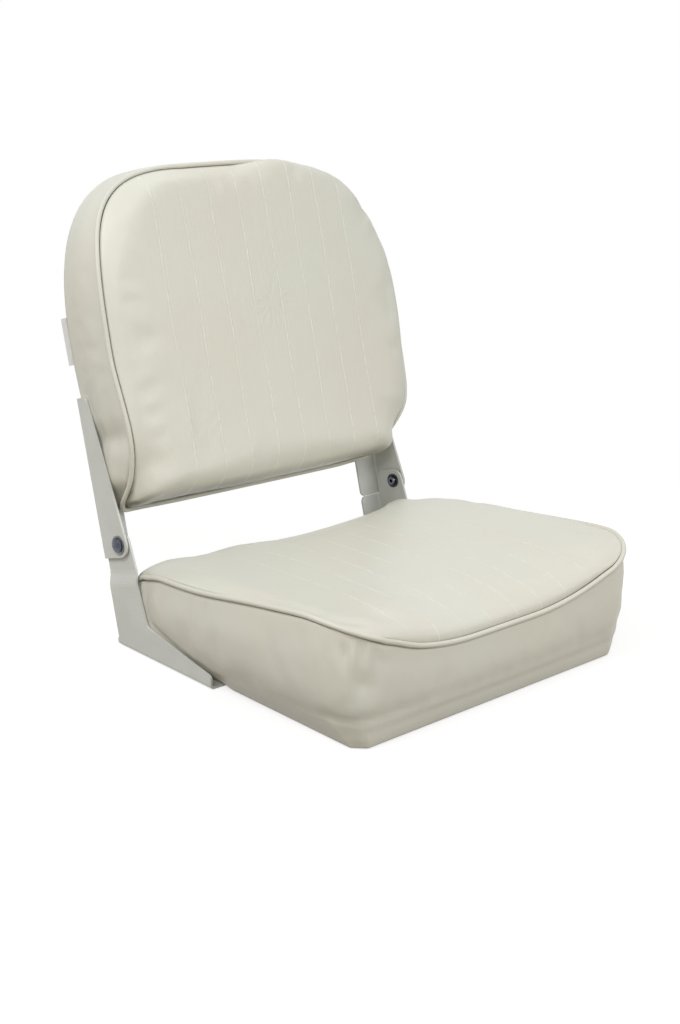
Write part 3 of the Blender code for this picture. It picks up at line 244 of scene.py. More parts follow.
REAR_N, CORNER_N, SIDE_N, TURN_N, FRONT_N = 26, 10, 58, 24, 30
BACK_SIDE_N, BACK_ARC_N, BACK_TOP_N = 44, 50, 18


def mirror_half(half):
    other = half[1:-1][::-1].copy()
    other[:, 0] *= -1
    return np.concatenate([half, other])


def quarters(count):
    return [math.pi / 2 * i / count for i in range(count)]


def first_corner(width, low, corner):
    """From the middle of the low edge out and round its corner, and the corner's centre."""
    u, v = width(low + corner) - corner, low + corner
    pts = [(u * i / REAR_N, low) for i in range(REAR_N)]
    pts += [(u + math.sin(a) * corner, v - math.cos(a) * corner) for a in quarters(CORNER_N)]
    return pts, v


def side_points(width, low, high, count):
    places = [low + (high - low) * i / count for i in range(count)]
    return [(width(v), v) for v in places]


def seat_half(width, rear, front, rear_corner, front_corner):
    pts, low = first_corner(width, rear, rear_corner)
    high = front - front_corner
    pts += side_points(width, low, high, SIDE_N)
    u = width(high) - front_corner
    pts += [(u + math.cos(a) * front_corner, high + math.sin(a) * front_corner) for a in quarters(TURN_N)]
    pts += [(u * (1 - i / FRONT_N), front) for i in range(FRONT_N + 1)]
    return np.array(pts)


def seat_width(v):
    swell = limited((v - SEAT_SWELL_START) / (SEAT_WIDEST - SEAT_SWELL_START))
    growth = 1 - (1 - swell) ** SEAT_SWELL_POWER
    width = SEAT_HALF_REAR + (SEAT_HALF_MIDDLE - SEAT_HALF_REAR) * growth
    past = max(0.0, (v - SEAT_WIDEST) / (SEAT_FRONT - SEAT_FRONT_CORNER - SEAT_WIDEST))
    return width - (SEAT_HALF_MIDDLE - SEAT_HALF_FRONT) * past * past


def seat_seam_height(u, v):
    corner = SEAT_FRONT - SEAT_FRONT_CORNER
    if v > corner:
        out = max(0.0, (abs(u) - SEAT_FRONT_FLAT) / (SEAT_HALF_FRONT - SEAT_FRONT_FLAT))
        return -SEAT_FRONT_SAG + (SEAT_CORNER_RISE + SEAT_FRONT_SAG) * out ** SEAT_FRONT_POWER
    if v > SEAT_REAR_ROUND:
        return SEAT_CORNER_RISE - SEAT_SIDE_SLOPE * (corner - v)
    crest = SEAT_CORNER_RISE - SEAT_SIDE_SLOPE * (corner - SEAT_REAR_ROUND)
    back = min(1.0, (SEAT_REAR_ROUND - v) / (SEAT_REAR_ROUND - SEAT_REAR))
    left = (1 - back ** SEAT_REAR_POWER) ** (1 / SEAT_REAR_POWER)
    return -SEAT_REAR_SEAM + (crest + SEAT_REAR_SEAM) * left


def seat_seam():
    loop = mirror_half(seat_half(seat_width, SEAT_REAR, SEAT_FRONT, SEAT_REAR_CORNER, SEAT_FRONT_CORNER))
    u, v = loop.T
    z = np.array([seat_seam_height(*place) for place in loop])
    z -= ramp(np.abs(u), *HEEL_DROP_SIDE) * HEEL_DROP * bell(v, *HEEL_DROP_ALONG)
    z += CORNER_LIFT * ramp(-u, *CORNER_LIFT_LEFT) * ramp(v, *CORNER_LIFT_ALONG)
    return np.column_stack([loop, ring_smooth(z, SEAT_SEAM_EASE)])


def seat_base(inset, level):
    """The loop of the board's edge, drawn in by an inset, with its front left corner cut off."""
    corners = [max(corner - inset, FIT) for corner in (SEAT_BASE_REAR_CORNER, SEAT_BASE_FRONT_CORNER)]
    loop = mirror_half(seat_half(lambda v: SEAT_BASE_HALF - inset, SEAT_REAR + inset, SEAT_BASE_FRONT - inset,
                                 *corners))
    over = loop[:, 1] - loop[:, 0] - (SEAT_BASE_HALF + SEAT_BASE_FRONT - inset - HEM_CHAMFER)
    over = np.maximum(0.0, over) * (loop[:, 0] < 0)
    loop = loop + np.column_stack([over, -over]) / 2
    sag = HEM_SAG * ramp(loop[:, 1], BRACKET_REACH + HEM_SAG_GAP, HEM_SAG_SPAN)
    low = level < HEM_LEVEL + SEAT_BASE_ROUND * HEM_LOW_SHARE
    return np.column_stack([loop, level - sag * low])


def seat_top(u, v):
    along = (v - SEAT_WIDEST) / SEAT_TOP_ARCH_SPAN
    bolster = SEAT_BOLSTER_REAR + SEAT_BOLSTER_GROWTH * np.maximum(0.0, v - SEAT_REAR_ROUND / 2)
    across = u / SEAT_HALF_MIDDLE
    dip = HEEL_DIP * ramp(-u, *HEEL_DIP_LEFT) * (1 - ramp(v, *HEEL_DIP_ALONG))
    return -SEAT_TOP_SAG - SEAT_TOP_ARCH * along * along + bolster * across * across - dip


def back_width(v):
    below = limited((BACK_WIDEST - v) / (BACK_WIDEST - BACK_WAIST))
    return BACK_HALF - (BACK_HALF - BACK_HALF_BOTTOM) * below ** BACK_WAIST_POWER


def back_half(top, arch, power):
    pts, low = first_corner(back_width, BACK_BOTTOM, BACK_BOTTOM_CORNER)
    pts += side_points(back_width, low, BACK_SHOULDER, BACK_SIDE_N)
    inner = BACK_HALF - BACK_SHOULDER_REACH
    for a in quarters(BACK_ARC_N):
        pts.append((inner + BACK_SHOULDER_REACH * math.cos(a) ** (2 / power),
                    BACK_SHOULDER + (top - BACK_SHOULDER) * math.sin(a) ** (2 / power)))
    for i in range(BACK_TOP_N + 1):
        u = inner * (1 - i / BACK_TOP_N)
        pts.append((u, top + arch * (1 - (u / inner) ** 2)))
    return np.array(pts)


def even_stations(count, half, other):
    """Spread the stations evenly along a half loop, and the matching loop with it."""
    s = run_lengths(np.diff(half, axis=0))
    t = np.linspace(0, s[-1], count)
    return [np.column_stack([np.interp(t, s, line) for line in h.T]) for h in (half, other)]


def back_seam_height(u, v):
    below = limited((BACK_SEAM_ROUND - v) / (BACK_SEAM_ROUND - BACK_BOTTOM))
    lift = BACK_SEAM_LIFT * (1 - below ** BACK_SEAM_POWER) ** (1 / BACK_SEAM_POWER)
    out = max(0.0, abs(u) - (BACK_HALF - BACK_SHOULDER_REACH)) / BACK_SHOULDER_REACH
    up = max(0.0, v - BACK_SHOULDER) / (BACK_TOP - BACK_SHOULDER)
    angle = math.atan2(up, out)
    return lift - BACK_CORNER_DIP * math.sin(2 * angle) ** 2 * min(1.0, out + up)


def rolled(p):
    """1 along the right side, where the face rolls over the piping, and 0 on the left and at the foot."""
    return ramp(p[:, 0], *ROLLED_RIGHT) * ramp(p[:, 1], *ROLLED_ALONG)


def rolled_top(p):
    return rolled(p) * ramp(p[:, 1], *ROLLED_HIGH)


def back_loops():
    """The face seam, the loop at the board's edge, and how far the top is drawn in in front of the board."""
    halves = even_stations(BACK_STATIONS, back_half(BACK_TOP, BACK_TOP_ARCH, BACK_SHOULDER_POWER),
                           back_half(BACK_REAR_TOP, BACK_REAR_ARCH, BACK_REAR_POWER))
    seam, base = [mirror_half(half) for half in halves]
    u, v = seam.T
    z = np.array([back_seam_height(*place) for place in seam])
    z -= SET_BACK_RIGHT * rolled(seam)
    z -= SET_BACK_CORNER * ramp(np.abs(u), *SET_BACK_SIDE) * (1 - ramp(v, BACK_BOTTOM, SET_BACK_SPAN))
    left = ramp(-u, *LEFT_SIDE)
    z += left * LEFT_FORWARD * bell(v, *LEFT_FORWARD_ALONG)
    z -= left * LEFT_SET_BACK * bell(v, *LEFT_SET_BACK_ALONG)
    # u and v are views, so each line below sees the changes of those before it
    high = ramp(v, *TOP_ALONG)
    v -= TOP_LEAN * ramp(u, *TOP_LEAN_RIGHT) * high
    v += TOP_CREST * bell(u, *TOP_CREST_ACROSS) * high
    u -= TOP_DRAW * ramp(u, *TOP_DRAW_RIGHT) * ramp(v, *TOP_DRAW_ALONG)
    foot = ramp(u, *FOOT_RIGHT) * (1 - ramp(v, BACK_BOTTOM + FOOT_CLEAR, FOOT_SPAN))
    u -= FOOT_TAPER * foot
    z -= FOOT_SET_BACK * foot
    elbow = bell(u, *ELBOW_ACROSS) * ramp(v, *ELBOW_ALONG)
    u -= LEFT_FULLNESS * LEFT_OUT_SHARE * elbow
    v += LEFT_FULLNESS * elbow
    drop = REAR_DROP_LEFT + (REAR_DROP_RIGHT - REAR_DROP_LEFT) * ramp(base[:, 0], *REAR_DROP_ACROSS)
    high = ramp(base[:, 1], *REAR_DROP_ALONG)
    base[:, 1] -= BOARD_SPARE * high
    draw = (drop - BOARD_SPARE) * high
    seam = np.column_stack([seam, ring_smooth(z, BACK_SEAM_EASE)])
    return seam, np.column_stack([base, np.full(len(base), BAND_LEVEL)]), draw


def back_face(u, v):
    across = u / BACK_HALF
    return BACK_FACE - BACK_FACE_ARCH * across * across


# Room for the hinge plates

def leg_top(v):
    return -PIVOT_DROP + LEG_END_HEIGHT + (BRACKET_REACH - v) * math.tan(LEG_ANGLE)


def web_limit(v, w, room):
    """How far out the bracket's inside face lets the cushion go, with the step near the pivot."""
    along = -v * math.sin(RECLINE) + w * math.cos(RECLINE)
    return WEB_INNER - room - JOGGLE * ramp(along, JOGGLE_BOTTOM, JOGGLE_TOP - JOGGLE_BOTTOM)


def past_bracket(v, w, soft):
    """0 beside the lower bracket, easing to 1 above its leg, in front of its upright and past its end."""
    upright = NOSE_RADIUS / math.cos(UPRIGHT_ANGLE) - w * math.tan(UPRIGHT_ANGLE)
    above, before, past = w - leg_top(v), v - upright, v - BRACKET_REACH
    return ramp(np.maximum(np.minimum(above, before), past), BRACKET_GAP, soft)


def arm_front(v):
    return -FLANGE_BACK + ARM_TOP_WIDTH + (ARM_HEIGHT - v) * NOSE_RADIUS * 2 / ARM_HEIGHT


def squeezed(p, limit, ease):
    """Bring the sides in to the limit, less where they ease out."""
    x = np.abs(p[..., 0])
    x = np.where(x > limit, limit + (x - limit) * ease, x)
    q = p.copy()
    q[..., 0] = np.sign(p[..., 0]) * x
    return q


def clear_of_bracket(p, room=BRACKET_ROOM, soft=BRACKET_SOFT):
    """Squeeze the side inside the bracket's web, easing out above and in front of it."""
    v, w = p[..., 1], p[..., 2]
    return squeezed(p, web_limit(v, w, room), past_bracket(v, w, soft))


def clear_of_arm(p, room=ARM_ROOM, soft=ARM_SOFT):
    """Squeeze the side inside the arm's web, easing out in front of it and above it."""
    over = np.maximum(p[..., 2] - arm_front(p[..., 1]), p[..., 1] - ARM_HEIGHT)
    return squeezed(p, WEB_INNER - room, ramp(over, ARM_GAP, soft))


# Surfaces

def face_rows(seam, centre, level, shape):
    """Rows of the face from the seam inwards. Each row's shoulder is eased round the loop.

    The shape gives each station's shoulder power, shoulder ratio and outward roll.
    """
    spacing = float(np.mean(np.linalg.norm(np.roll(seam, -1, 0) - seam, axis=1)))
    way = to_middle(seam, centre)
    whole = np.linalg.norm(way, axis=1)
    way = way / whole[:, None]
    stations = np.column_stack([level(seam[:, 0], seam[:, 1]) - seam[:, 2], *shape(seam)])
    distances = [np.full(len(seam), step) for step in FACE_STEPS]
    distances += [FACE_STEPS[-1] + (whole - FACE_STEPS[-1]) * share for share in FACE_SHARES]
    rows = []
    for dist in distances:
        drop, bend, ratio, roll = ring_smooth(stations, ROW_EASE * float(np.mean(dist)) / spacing).T
        shoulder = SHOULDER_LEAST + ratio * np.abs(drop)
        left = np.clip(1 - dist / shoulder, 0, 1)
        fall = 1 - (1 - left ** bend) ** (1 / bend)
        swell = roll * np.sin(math.pi * np.clip(dist / ROLL_REACH, 0, 1) ** ROLL_POWER)
        plan = seam[:, :2] + way * (dist - swell)[:, None]
        rows.append(np.column_stack([plan, level(plan[:, 0], plan[:, 1]) - drop * fall]))
    return rows


def eased_curve(knots, values):
    """A curve through knots with its corners eased, at the band's rows."""
    fine = np.linspace(CURVE_START, CURVE_END, CURVE_COUNT)
    inner = np.clip(fine, 0, 1)
    curve = np.interp(inner, knots, values)
    curve += (fine - inner) * np.where(fine < 0, (values[1] - values[0]) / (knots[1] - knots[0]), 0)
    offsets = np.arange(-CURVE_REACH, CURVE_REACH + 1) * (fine[1] - fine[0])
    kernel = np.exp(-0.5 * (offsets / CURVE_EASE) ** 2)
    eased = np.convolve(curve, kernel / kernel.sum(), mode="same")
    return np.interp(BAND_SHARES, fine, eased)


def seat_rows(base, seam):
    """The side band: drawn in below a soft fold, bellied above it, and filled out to the brackets."""
    reach = eased_curve(TUCK_HEIGHTS, TUCK_REACHES)
    belly = eased_curve(BELLY_HEIGHTS, BELLY_REACHES)
    fill = eased_curve(FILL_HEIGHTS, FILL_REACHES)
    ahead = (seam[:, 1] - SEAT_CENTRE) * BELLY_LENGTHWAYS
    out = unit(np.column_stack([seam[:, 0], ahead, np.zeros(len(seam))]))
    around = BELLY_LEAST + (1 - BELLY_LEAST) * ramp(seam[:, 1], *BELLY_ALONG)
    rows = []
    for i, share in enumerate(BAND_SHARES):
        plan = base[:, :2] + (seam[:, :2] - base[:, :2]) * reach[i]
        p = np.column_stack([plan, base[:, 2] + (seam[:, 2] - base[:, 2]) * share])
        p = p + out * (SEAT_BELLY * belly[i] * around)[:, None]
        room = np.maximum(0, web_limit(p[:, 1], p[:, 2], FILL_ROOM) - np.abs(p[:, 0]))
        beside = ramp(np.abs(p[:, 0]), *FILL_SIDE) * ramp(p[:, 1], *SEAT_FILL_ALONG)
        p[:, 0] += np.sign(p[:, 0]) * room * fill[i] * beside * (p[:, 1] < SEAT_FILL_END)
        rows.append(clear_of_bracket(p))
    return rows


def back_rows(base, seam, draw):
    """The side band of the back: swollen a little, and filled out to the arms but for one slit.

    It wraps the board's edge, and is drawn in just in front of it along the top.
    """
    fill = eased_curve(FILL_HEIGHTS, FILL_REACHES)
    rows = []
    for i, share in enumerate(BAND_SHARES):
        p = base + (seam - base) * share
        out = unit(np.column_stack([p[:, 0], p[:, 1] - BACK_CENTRE, np.zeros(len(p))]))
        swell = BACK_SWELL_SHARE * (seam[:, 2] - base[:, 2]) * math.sin(math.pi * share)
        p = p + out * swell[:, None]
        p[:, 1] -= draw * (1 - share) * ramp(p[:, 2], BAND_LEVEL + BOARD_THICK, BOARD_EDGE_SPAN)
        u, v = p[:, 0], p[:, 1]
        room = np.maximum(0, WEB_INNER - FILL_ROOM - np.abs(u))
        slit = bell(v, *SLIT_ALONG) * (u < 0)
        beside = ramp(np.abs(u), *FILL_SIDE) * ramp(v, *BACK_FILL_ALONG) * (1 - ramp(v, *BACK_FILL_FADE))
        beside = beside * np.where(u > 0, ramp(v, *BACK_FILL_RIGHT), 1.0)
        p[:, 0] += np.sign(u) * (room * (1 - slit) - SLIT_DEPTH * slit) * fill[i] * beside
        rows.append(clear_of_arm(p))
    return rows


def seam_frame(seam, face, band, centre):
    """Directions square to the seam: to the face, the band and the inside, and half the angle between."""
    along = unit(np.roll(seam, -1, 0) - np.roll(seam, 1, 0))
    ways = []
    for v in (face - seam, band - seam):
        square = unit(v - along * np.sum(v * along, axis=1, keepdims=True))
        ways.append(unit(ring_smooth(square, FRAME_EASE)))
    to_face, to_band = ways
    inward = unit(to_face + to_band)
    flip = np.sum(inward[:, :2] * to_middle(seam, centre), axis=1) < 0
    inward[flip] *= -1
    half = 0.5 * np.arccos(np.clip(np.sum(to_face * to_band, axis=1), -1, 1))
    return to_face, to_band, inward, np.where(flip, math.pi - half, half)


def seam_groove(seam, to_face, to_band, inward, tuck):
    """The two rims and the valley between them, where the piping sits, deeper where it is tucked."""
    rim = inward * RIM_TUCK
    valley = inward * (SEAM_SINK + tuck)[:, None]
    places = ((to_band, RIM_SHARE, rim), (to_band, VALLEY_SHARE, valley),
              (to_face, VALLEY_SHARE, valley), (to_face, RIM_SHARE, rim))
    return [seam + way * SEAM_NOTCH * share + depth for way, share, depth in places]


def welt_centre(seam, inward, half, tuck):
    reach = WELT_RADIUS + WELT_FIT
    depth = SEAM_NOTCH * np.cos(half)
    spread = SEAM_NOTCH * np.sin(half)
    return seam - inward * (np.sqrt(reach ** 2 - spread ** 2) - depth - tuck)[:, None]


# Meshes

def vectors(items, key):
    values = np.zeros(len(items) * 3, np.float32)
    items.foreach_get(key, values)
    return values.reshape(-1, 3).astype(float)


def coords(mesh):
    return vectors(mesh.vertices, "co")


def normals(mesh):
    return vectors(mesh.vertex_normals, "vector")


def set_coords(mesh, co):
    mesh.vertices.foreach_set("co", co.astype(np.float32).ravel())
    mesh.update()


def signed_volume(mesh):
    mesh.calc_loop_triangles()
    corners = np.zeros(len(mesh.loop_triangles) * 3, np.int32)
    mesh.loop_triangles.foreach_get("vertices", corners)
    a, b, c = [coords(mesh)[corners[k::3]] for k in range(3)]
    return float(np.sum(np.cross(a, b) * c) / 6)


def new_object(name, data):
    obj = bpy.data.objects.new(name, data)
    bpy.context.scene.collection.objects.link(obj)
    return obj


def new_mesh(name, verts, faces):
    mesh = bpy.data.meshes.new(name)
    mesh.from_pydata([tuple(v) for v in verts], [], faces)
    mesh.update()
    return mesh


def smooth_object(name, verts, faces):
    """A smooth closed object with its faces turned outwards."""
    mesh = new_mesh(name, verts, faces)
    if signed_volume(mesh) < 0:
        mesh.flip_normals()
    mesh.shade_smooth()
    return new_object(name, mesh)


def closed_mesh(name, rows, start, end):
    """A closed mesh through rows of equal length, with a fan at each end."""
    count = len(rows[0])
    ids = np.arange(count)
    nxt = (ids + 1) % count
    faces = []
    for r in range(len(rows) - 1):
        a, b = r * count, (r + 1) * count
        faces += list(zip(a + ids, a + nxt, b + nxt, b + ids))
    top, last = len(rows) * count, (len(rows) - 1) * count
    faces += [(top, j, i) for i, j in zip(ids, nxt)]
    faces += [(top + 1, last + i, last + j) for i, j in zip(ids, nxt)]
    verts = np.vstack([*rows, [start], [end]])
    return smooth_object(name, verts, [tuple(int(k) for k in f) for f in faces])


def cord(name, path):
    """A closed cord along a ring of points, a little thicker in some places than in others."""
    count = len(path)
    along = unit(np.roll(path, -1, 0) - np.roll(path, 1, 0))
    side = unit(np.cross(along, np.array([0.0, 0.0, 1.0])))
    for _ in range(CORD_ROUNDS):
        eased = ring_smooth(side, CORD_SIDE_EASE)
        side = unit(eased - along * np.sum(eased * along, axis=1, keepdims=True))
    up = np.cross(side, along)
    swell = 1 + CORD_WANDER * ring_smooth(rng.standard_normal(count), CORD_WANDER_EASE)
    lines = []
    for i in range(CORD_SIDES):
        a = 2 * math.pi * i / CORD_SIDES
        lines.append(path + (side * math.cos(a) + up * math.sin(a)) * (CORD_RADIUS * swell)[:, None])
    verts = np.stack(lines, axis=1).reshape(-1, 3)
    faces = []
    for i in range(count):
        here, ahead = i * CORD_SIDES, (i + 1) % count * CORD_SIDES
        for k in range(CORD_SIDES):
            m = (k + 1) % CORD_SIDES
            faces.append((here + k, ahead + k, ahead + m, here + m))
    obj = smooth_object(name, verts, faces)
    obj.data.materials.append(PLAIN)
    return obj


def tree_of(points):
    tree = KDTree(len(points))
    for i, p in enumerate(points):
        tree.insert(p, i)
    tree.balance()
    return tree


# Cloth pass

CLOTH_VOXEL, CLOTH_FRAMES = 0.007, 20
CLOTH = {"quality": 5, "mass": 0.25, "tension_stiffness": 18, "compression_stiffness": 12,
         "shear_stiffness": 6, "bending_stiffness": 0.35, "shrink_min": -0.012, "use_pressure": True,
         "uniform_pressure_force": 2.0, "vertex_group_mass": "pin"}
CARRY_POINTS, CARRY_REACH, CARRY_LEAST = 6, 0.0056, 1e-6
SEAT_PUFF, BACK_PUFF = 0.0020, 0.0013
SEAM_HOLD = (0.004, 0.016)
HEM_HOLD, POCKET_HOLD = (HEM_LEVEL + 0.012, 0.020), BOARD_TOP + 0.004
REAR_HOLD = (REAR_SKIN_LEVEL + 0.008, 0.018)
SEAT_HOLD_SIDE, BACK_HOLD_SIDE, HOLD_SPAN = 0.165, 0.160, 0.02
UPRIGHT_HOLD, UPRIGHT_TOP_SPAN = (0.040, 0.030), 0.03


def evaluated_mesh(obj):
    return bpy.data.meshes.new_from_object(obj.evaluated_get(bpy.context.evaluated_depsgraph_get()))


def pin_points(obj, weights):
    pin = obj.vertex_groups.new(name="pin")
    weights = np.round(weights, 2)
    for level in np.unique(weights):
        if level > 0:
            pin.add([int(i) for i in np.nonzero(weights == level)[0]], float(level), "REPLACE")


def blown_up(obj, free):
    """The points of a remeshed copy, and how far each moves when the copy is inflated as cloth."""
    scene, view = bpy.context.scene, bpy.context.view_layer
    copy = obj.copy()
    copy.data = obj.data.copy()
    scene.collection.objects.link(copy)
    remesh = copy.modifiers.new("remesh", "REMESH")
    remesh.mode = "VOXEL"
    remesh.voxel_size = CLOTH_VOXEL
    view.update()
    mesh = evaluated_mesh(copy)
    copy.modifiers.clear()
    copy.data = mesh
    rest = coords(mesh)
    pin_points(copy, 1.0 - free(rest))
    cloth = copy.modifiers.new("cloth", "CLOTH")
    for key, value in CLOTH.items():
        setattr(cloth.settings, key, value)
    cloth.settings.effector_weights.gravity = 0
    cloth.collision_settings.use_collision = False
    for number in range(CLOTH_FRAMES):
        scene.frame_set(number + 1)
    view.update()
    moved = coords(evaluated_mesh(copy)) - rest
    scene.frame_set(1)
    bpy.data.objects.remove(copy, do_unlink=True)
    return rest, moved


def puff(obj, free, cap):
    """Inflate a remeshed copy as cloth, and carry its movement over to the real mesh."""
    rest, moved = blown_up(obj, free)
    length = np.linalg.norm(moved, axis=1, keepdims=True)
    moved = moved * np.minimum(1.0, cap / np.maximum(length, 1e-9)) * free(rest)[:, None]
    tree = tree_of(rest)
    co = coords(obj.data)
    shift = np.zeros_like(co)
    for i, p in enumerate(co):
        found = tree.find_n(p, CARRY_POINTS)
        w = np.array([math.exp(-(d / CARRY_REACH) ** 2) + CARRY_LEAST for _, _, d in found])
        shift[i] = (moved[[k for _, k, _ in found]] * w[:, None]).sum(axis=0) / w.sum()
    set_coords(obj.data, co + shift * free(co)[:, None])
    far = np.linalg.norm(shift, axis=1) * 1000
    print(f"cloth {obj.name} moved up to {far.max():.1f} mm, mean {far.mean():.2f}")


def away_from(seam_tree, co):
    """0 at the seam and 1 a little away from it."""
    return ramp(np.array([seam_tree.find(p)[2] for p in co]), *SEAM_HOLD)


class Skin:
    """A cover's points, for pressing soft creases into it."""

    def __init__(self, obj, to_local):
        self.co = coords(obj.data)
        self.nrm = normals(obj.data)
        self.local = to_local(self.co)
        self.facing = to_local(self.co + self.nrm) - self.local

    def press(self, amount):
        self.co = self.co - self.nrm * amount[:, None]

    def crease(self, start, end, width, depth):
        """A shallow valley between two places, with a low ridge each side."""
        a, b = np.array(start), np.array(end)
        length = np.linalg.norm(b - a)
        d = (b - a) / length
        rel = self.local - a
        run = rel @ d
        off = rel - np.outer(np.clip(run, 0, length), d)
        near = np.linalg.norm(off, axis=1) < CREASE_REACH + 2 * width
        off = off - self.facing * np.sum(off * self.facing, axis=1, keepdims=True)
        lateral = np.linalg.norm(off, axis=1)
        t = run / length
        taper = np.clip(1 - np.abs(2 * t - 1) ** CREASE_TAPER, 0, 1) * (t > 0) * (t < 1)
        ridge = RIDGE_SHARE * bell(lateral, RIDGE_PLACE * width, RIDGE_WIDTH * width)
        self.press((bell(lateral, 0, width) - ridge) * taper * depth * near)

    def creases(self, pairs, left):
        """Creases on both sides, and others on the left alone."""
        for side in (-1, 1):
            for a, b, width, depth in pairs:
                self.crease((side * a[0], *a[1:]), (side * b[0], *b[1:]), width, depth)
        for row in left:
            self.crease(*row)


# Finishes. A NOISE is scale, detail and roughness; a RANGE is from, to and whether it is eased; a BUMP is
# distance and strength.

class Nodes:
    """A few helpers for building a shader."""

    def __init__(self, name):
        self.material = bpy.data.materials.new(name)
        self.material.use_nodes = True
        self.tree = self.material.node_tree
        self.shader = self.tree.nodes["Principled BSDF"]
        self.place = self.tree.nodes.new("ShaderNodeTexCoord").outputs["Object"]

    def feed(self, socket, value):
        """Link a socket to an output, or set it to a number, a vector or a colour."""
        if isinstance(value, bpy.types.NodeSocket):
            self.tree.links.new(value, socket)
        elif socket.type == "RGBA":
            socket.default_value = (*value, 1.0)
        else:
            socket.default_value = value

    def add(self, kind, inputs, **settings):
        node = self.tree.nodes.new(kind)
        for key, value in settings.items():
            setattr(node, key, value)
        for key, value in inputs.items():
            self.feed(node.inputs[key], value)
        return node

    def mapped(self, scale):
        return self.add("ShaderNodeMapping", {"Scale": scale, "Vector": self.place}).outputs["Vector"]

    def noise(self, scale, detail, rough, vector=None, distortion=0.0):
        inputs = {"Scale": scale, "Detail": detail, "Roughness": rough, "Distortion": distortion,
                  "Vector": self.place if vector is None else vector}
        return self.add("ShaderNodeTexNoise", inputs).outputs["Fac"]

    def cells(self, scale):
        """Distance to the edge of the nearest cell."""
        inputs = {"Scale": scale, "Vector": self.place}
        return self.add("ShaderNodeTexVoronoi", inputs, feature="DISTANCE_TO_EDGE").outputs["Distance"]

    def math(self, operation, *values):
        return self.add("ShaderNodeMath", dict(enumerate(values)), operation=operation).outputs[0]

    def product(self, *values):
        whole = values[0]
        for value in values[1:]:
            whole = self.math("MULTIPLY", whole, value)
        return whole

    def remap(self, value, low, high, to_low, to_high, eased=False):
        inputs = {"Value": value, "From Min": low, "From Max": high, "To Min": to_low, "To Max": to_high}
        kind = "SMOOTHSTEP" if eased else "LINEAR"
        return self.add("ShaderNodeMapRange", inputs, interpolation_type=kind).outputs["Result"]

    def mix(self, factor, a, b):
        return self.add("ShaderNodeMix", {0: factor, 6: a, 7: b}, data_type="RGBA").outputs[2]

    def bump(self, height, distance, strength, normal=None):
        node = self.add("ShaderNodeBump", {"Height": height, "Distance": distance, "Strength": strength})
        if normal is not None:
            self.feed(node.inputs["Normal"], normal)
        return node.outputs["Normal"]

    def separate(self):
        return self.add("ShaderNodeSeparateXYZ", {0: self.place}).outputs

    def surface(self, colour, rough, normal, others):
        for key, value in {"Base Color": colour, "Roughness": rough, "Normal": normal, **others}.items():
            self.feed(self.shader.inputs[key], value)
        return self.material


EASED_STEP = (0.35, 0.65, 0.0, 1.0, True)
SPECK_SPREAD = (0.3, 0.7)

CREAM, CREAM_WARM, CREAM_COOL = (0.690, 0.684, 0.598), (0.692, 0.676, 0.586), (0.687, 0.690, 0.608)
BROAD_NOISE, BROAD_RANGE = (7.0, 3.0, 0.55), (0.36, 0.64, 0.0, 1.0, True)
PATCH_NOISE, PATCH_RANGE = (38.0, 2.0, 0.5), (0.45, 0.75, 0.0, 0.35, True)
GRAIN_SCALE, GRAIN_RANGE, GRAIN_BUMP = 1500.0, (0.0, 0.25, 0.0, 1.0), (0.00006, 0.55)
PITS_NOISE, PITS_BUMP, PITS_ROUGH = (825.0, 3.0, 0.6), (0.00012, 0.6), (0.31, 0.42)
LONG_NOISE, LONG_STRETCH = (1.0, 3.0, 0.6), (520, 26, 26)
LONG_FACE_BUMP, LONG_BUMP = (0.00030, 0.55), (0.00030, 0.25)
WAVE_NOISE, WAVE_BUMP = (26.0, 2.0, 0.5), (0.0016, 0.30)
# First the dark tone of the painted shade under the back's foot and in the gap to the arms, then the vinyl's
# other settings
PAINTED_SHADOW_TONE, VINYL_OTHERS = (0.20, 0.19, 0.15), {"Specular IOR Level": 0.42}

PLEAT_SHIFT, PLEAT_ENDS = 40.0, (0.126, 0.136, 1.0, 0.0, True)
LINE_RANGE, HALO_RANGE, HALO_SHARE = (0.0003, 0.0012, 1.0, 0.0, True), (0.0010, 0.0030, 1.0, 0.0, True), 0.35
DASH_PITCH, DASH_STAGGER, DASH_RANGE = 0.0165, 0.37, (0.30, 0.44, 1.0, 0.12, True)
FADE_NOISE, FADE_RANGE = (34.0, 1.0, 0.5), (0.35, 0.55, 0.25, 1.0, True)
# The lighter line tone is a painted highlight along each pleat ridge
LINE_BUMP, LINE_HIGHLIGHT_SHARE, LINE_HIGHLIGHT = (0.00030, 0.85), 0.75, (0.80, 0.80, 0.72)

FAN_X, FAN_Z, FAN_WANDER, FAN_NOISE, FAN_BUMP = 0.006, 0.331, 16.0, (5.0, 2.0, 0.5), (0.0011, 0.6)
FAN_GROWN, FAN_FADED = (0.002, 0.010, 0.0, 1.0, True), (0.014, 0.046, 1.0, 0.0, True)


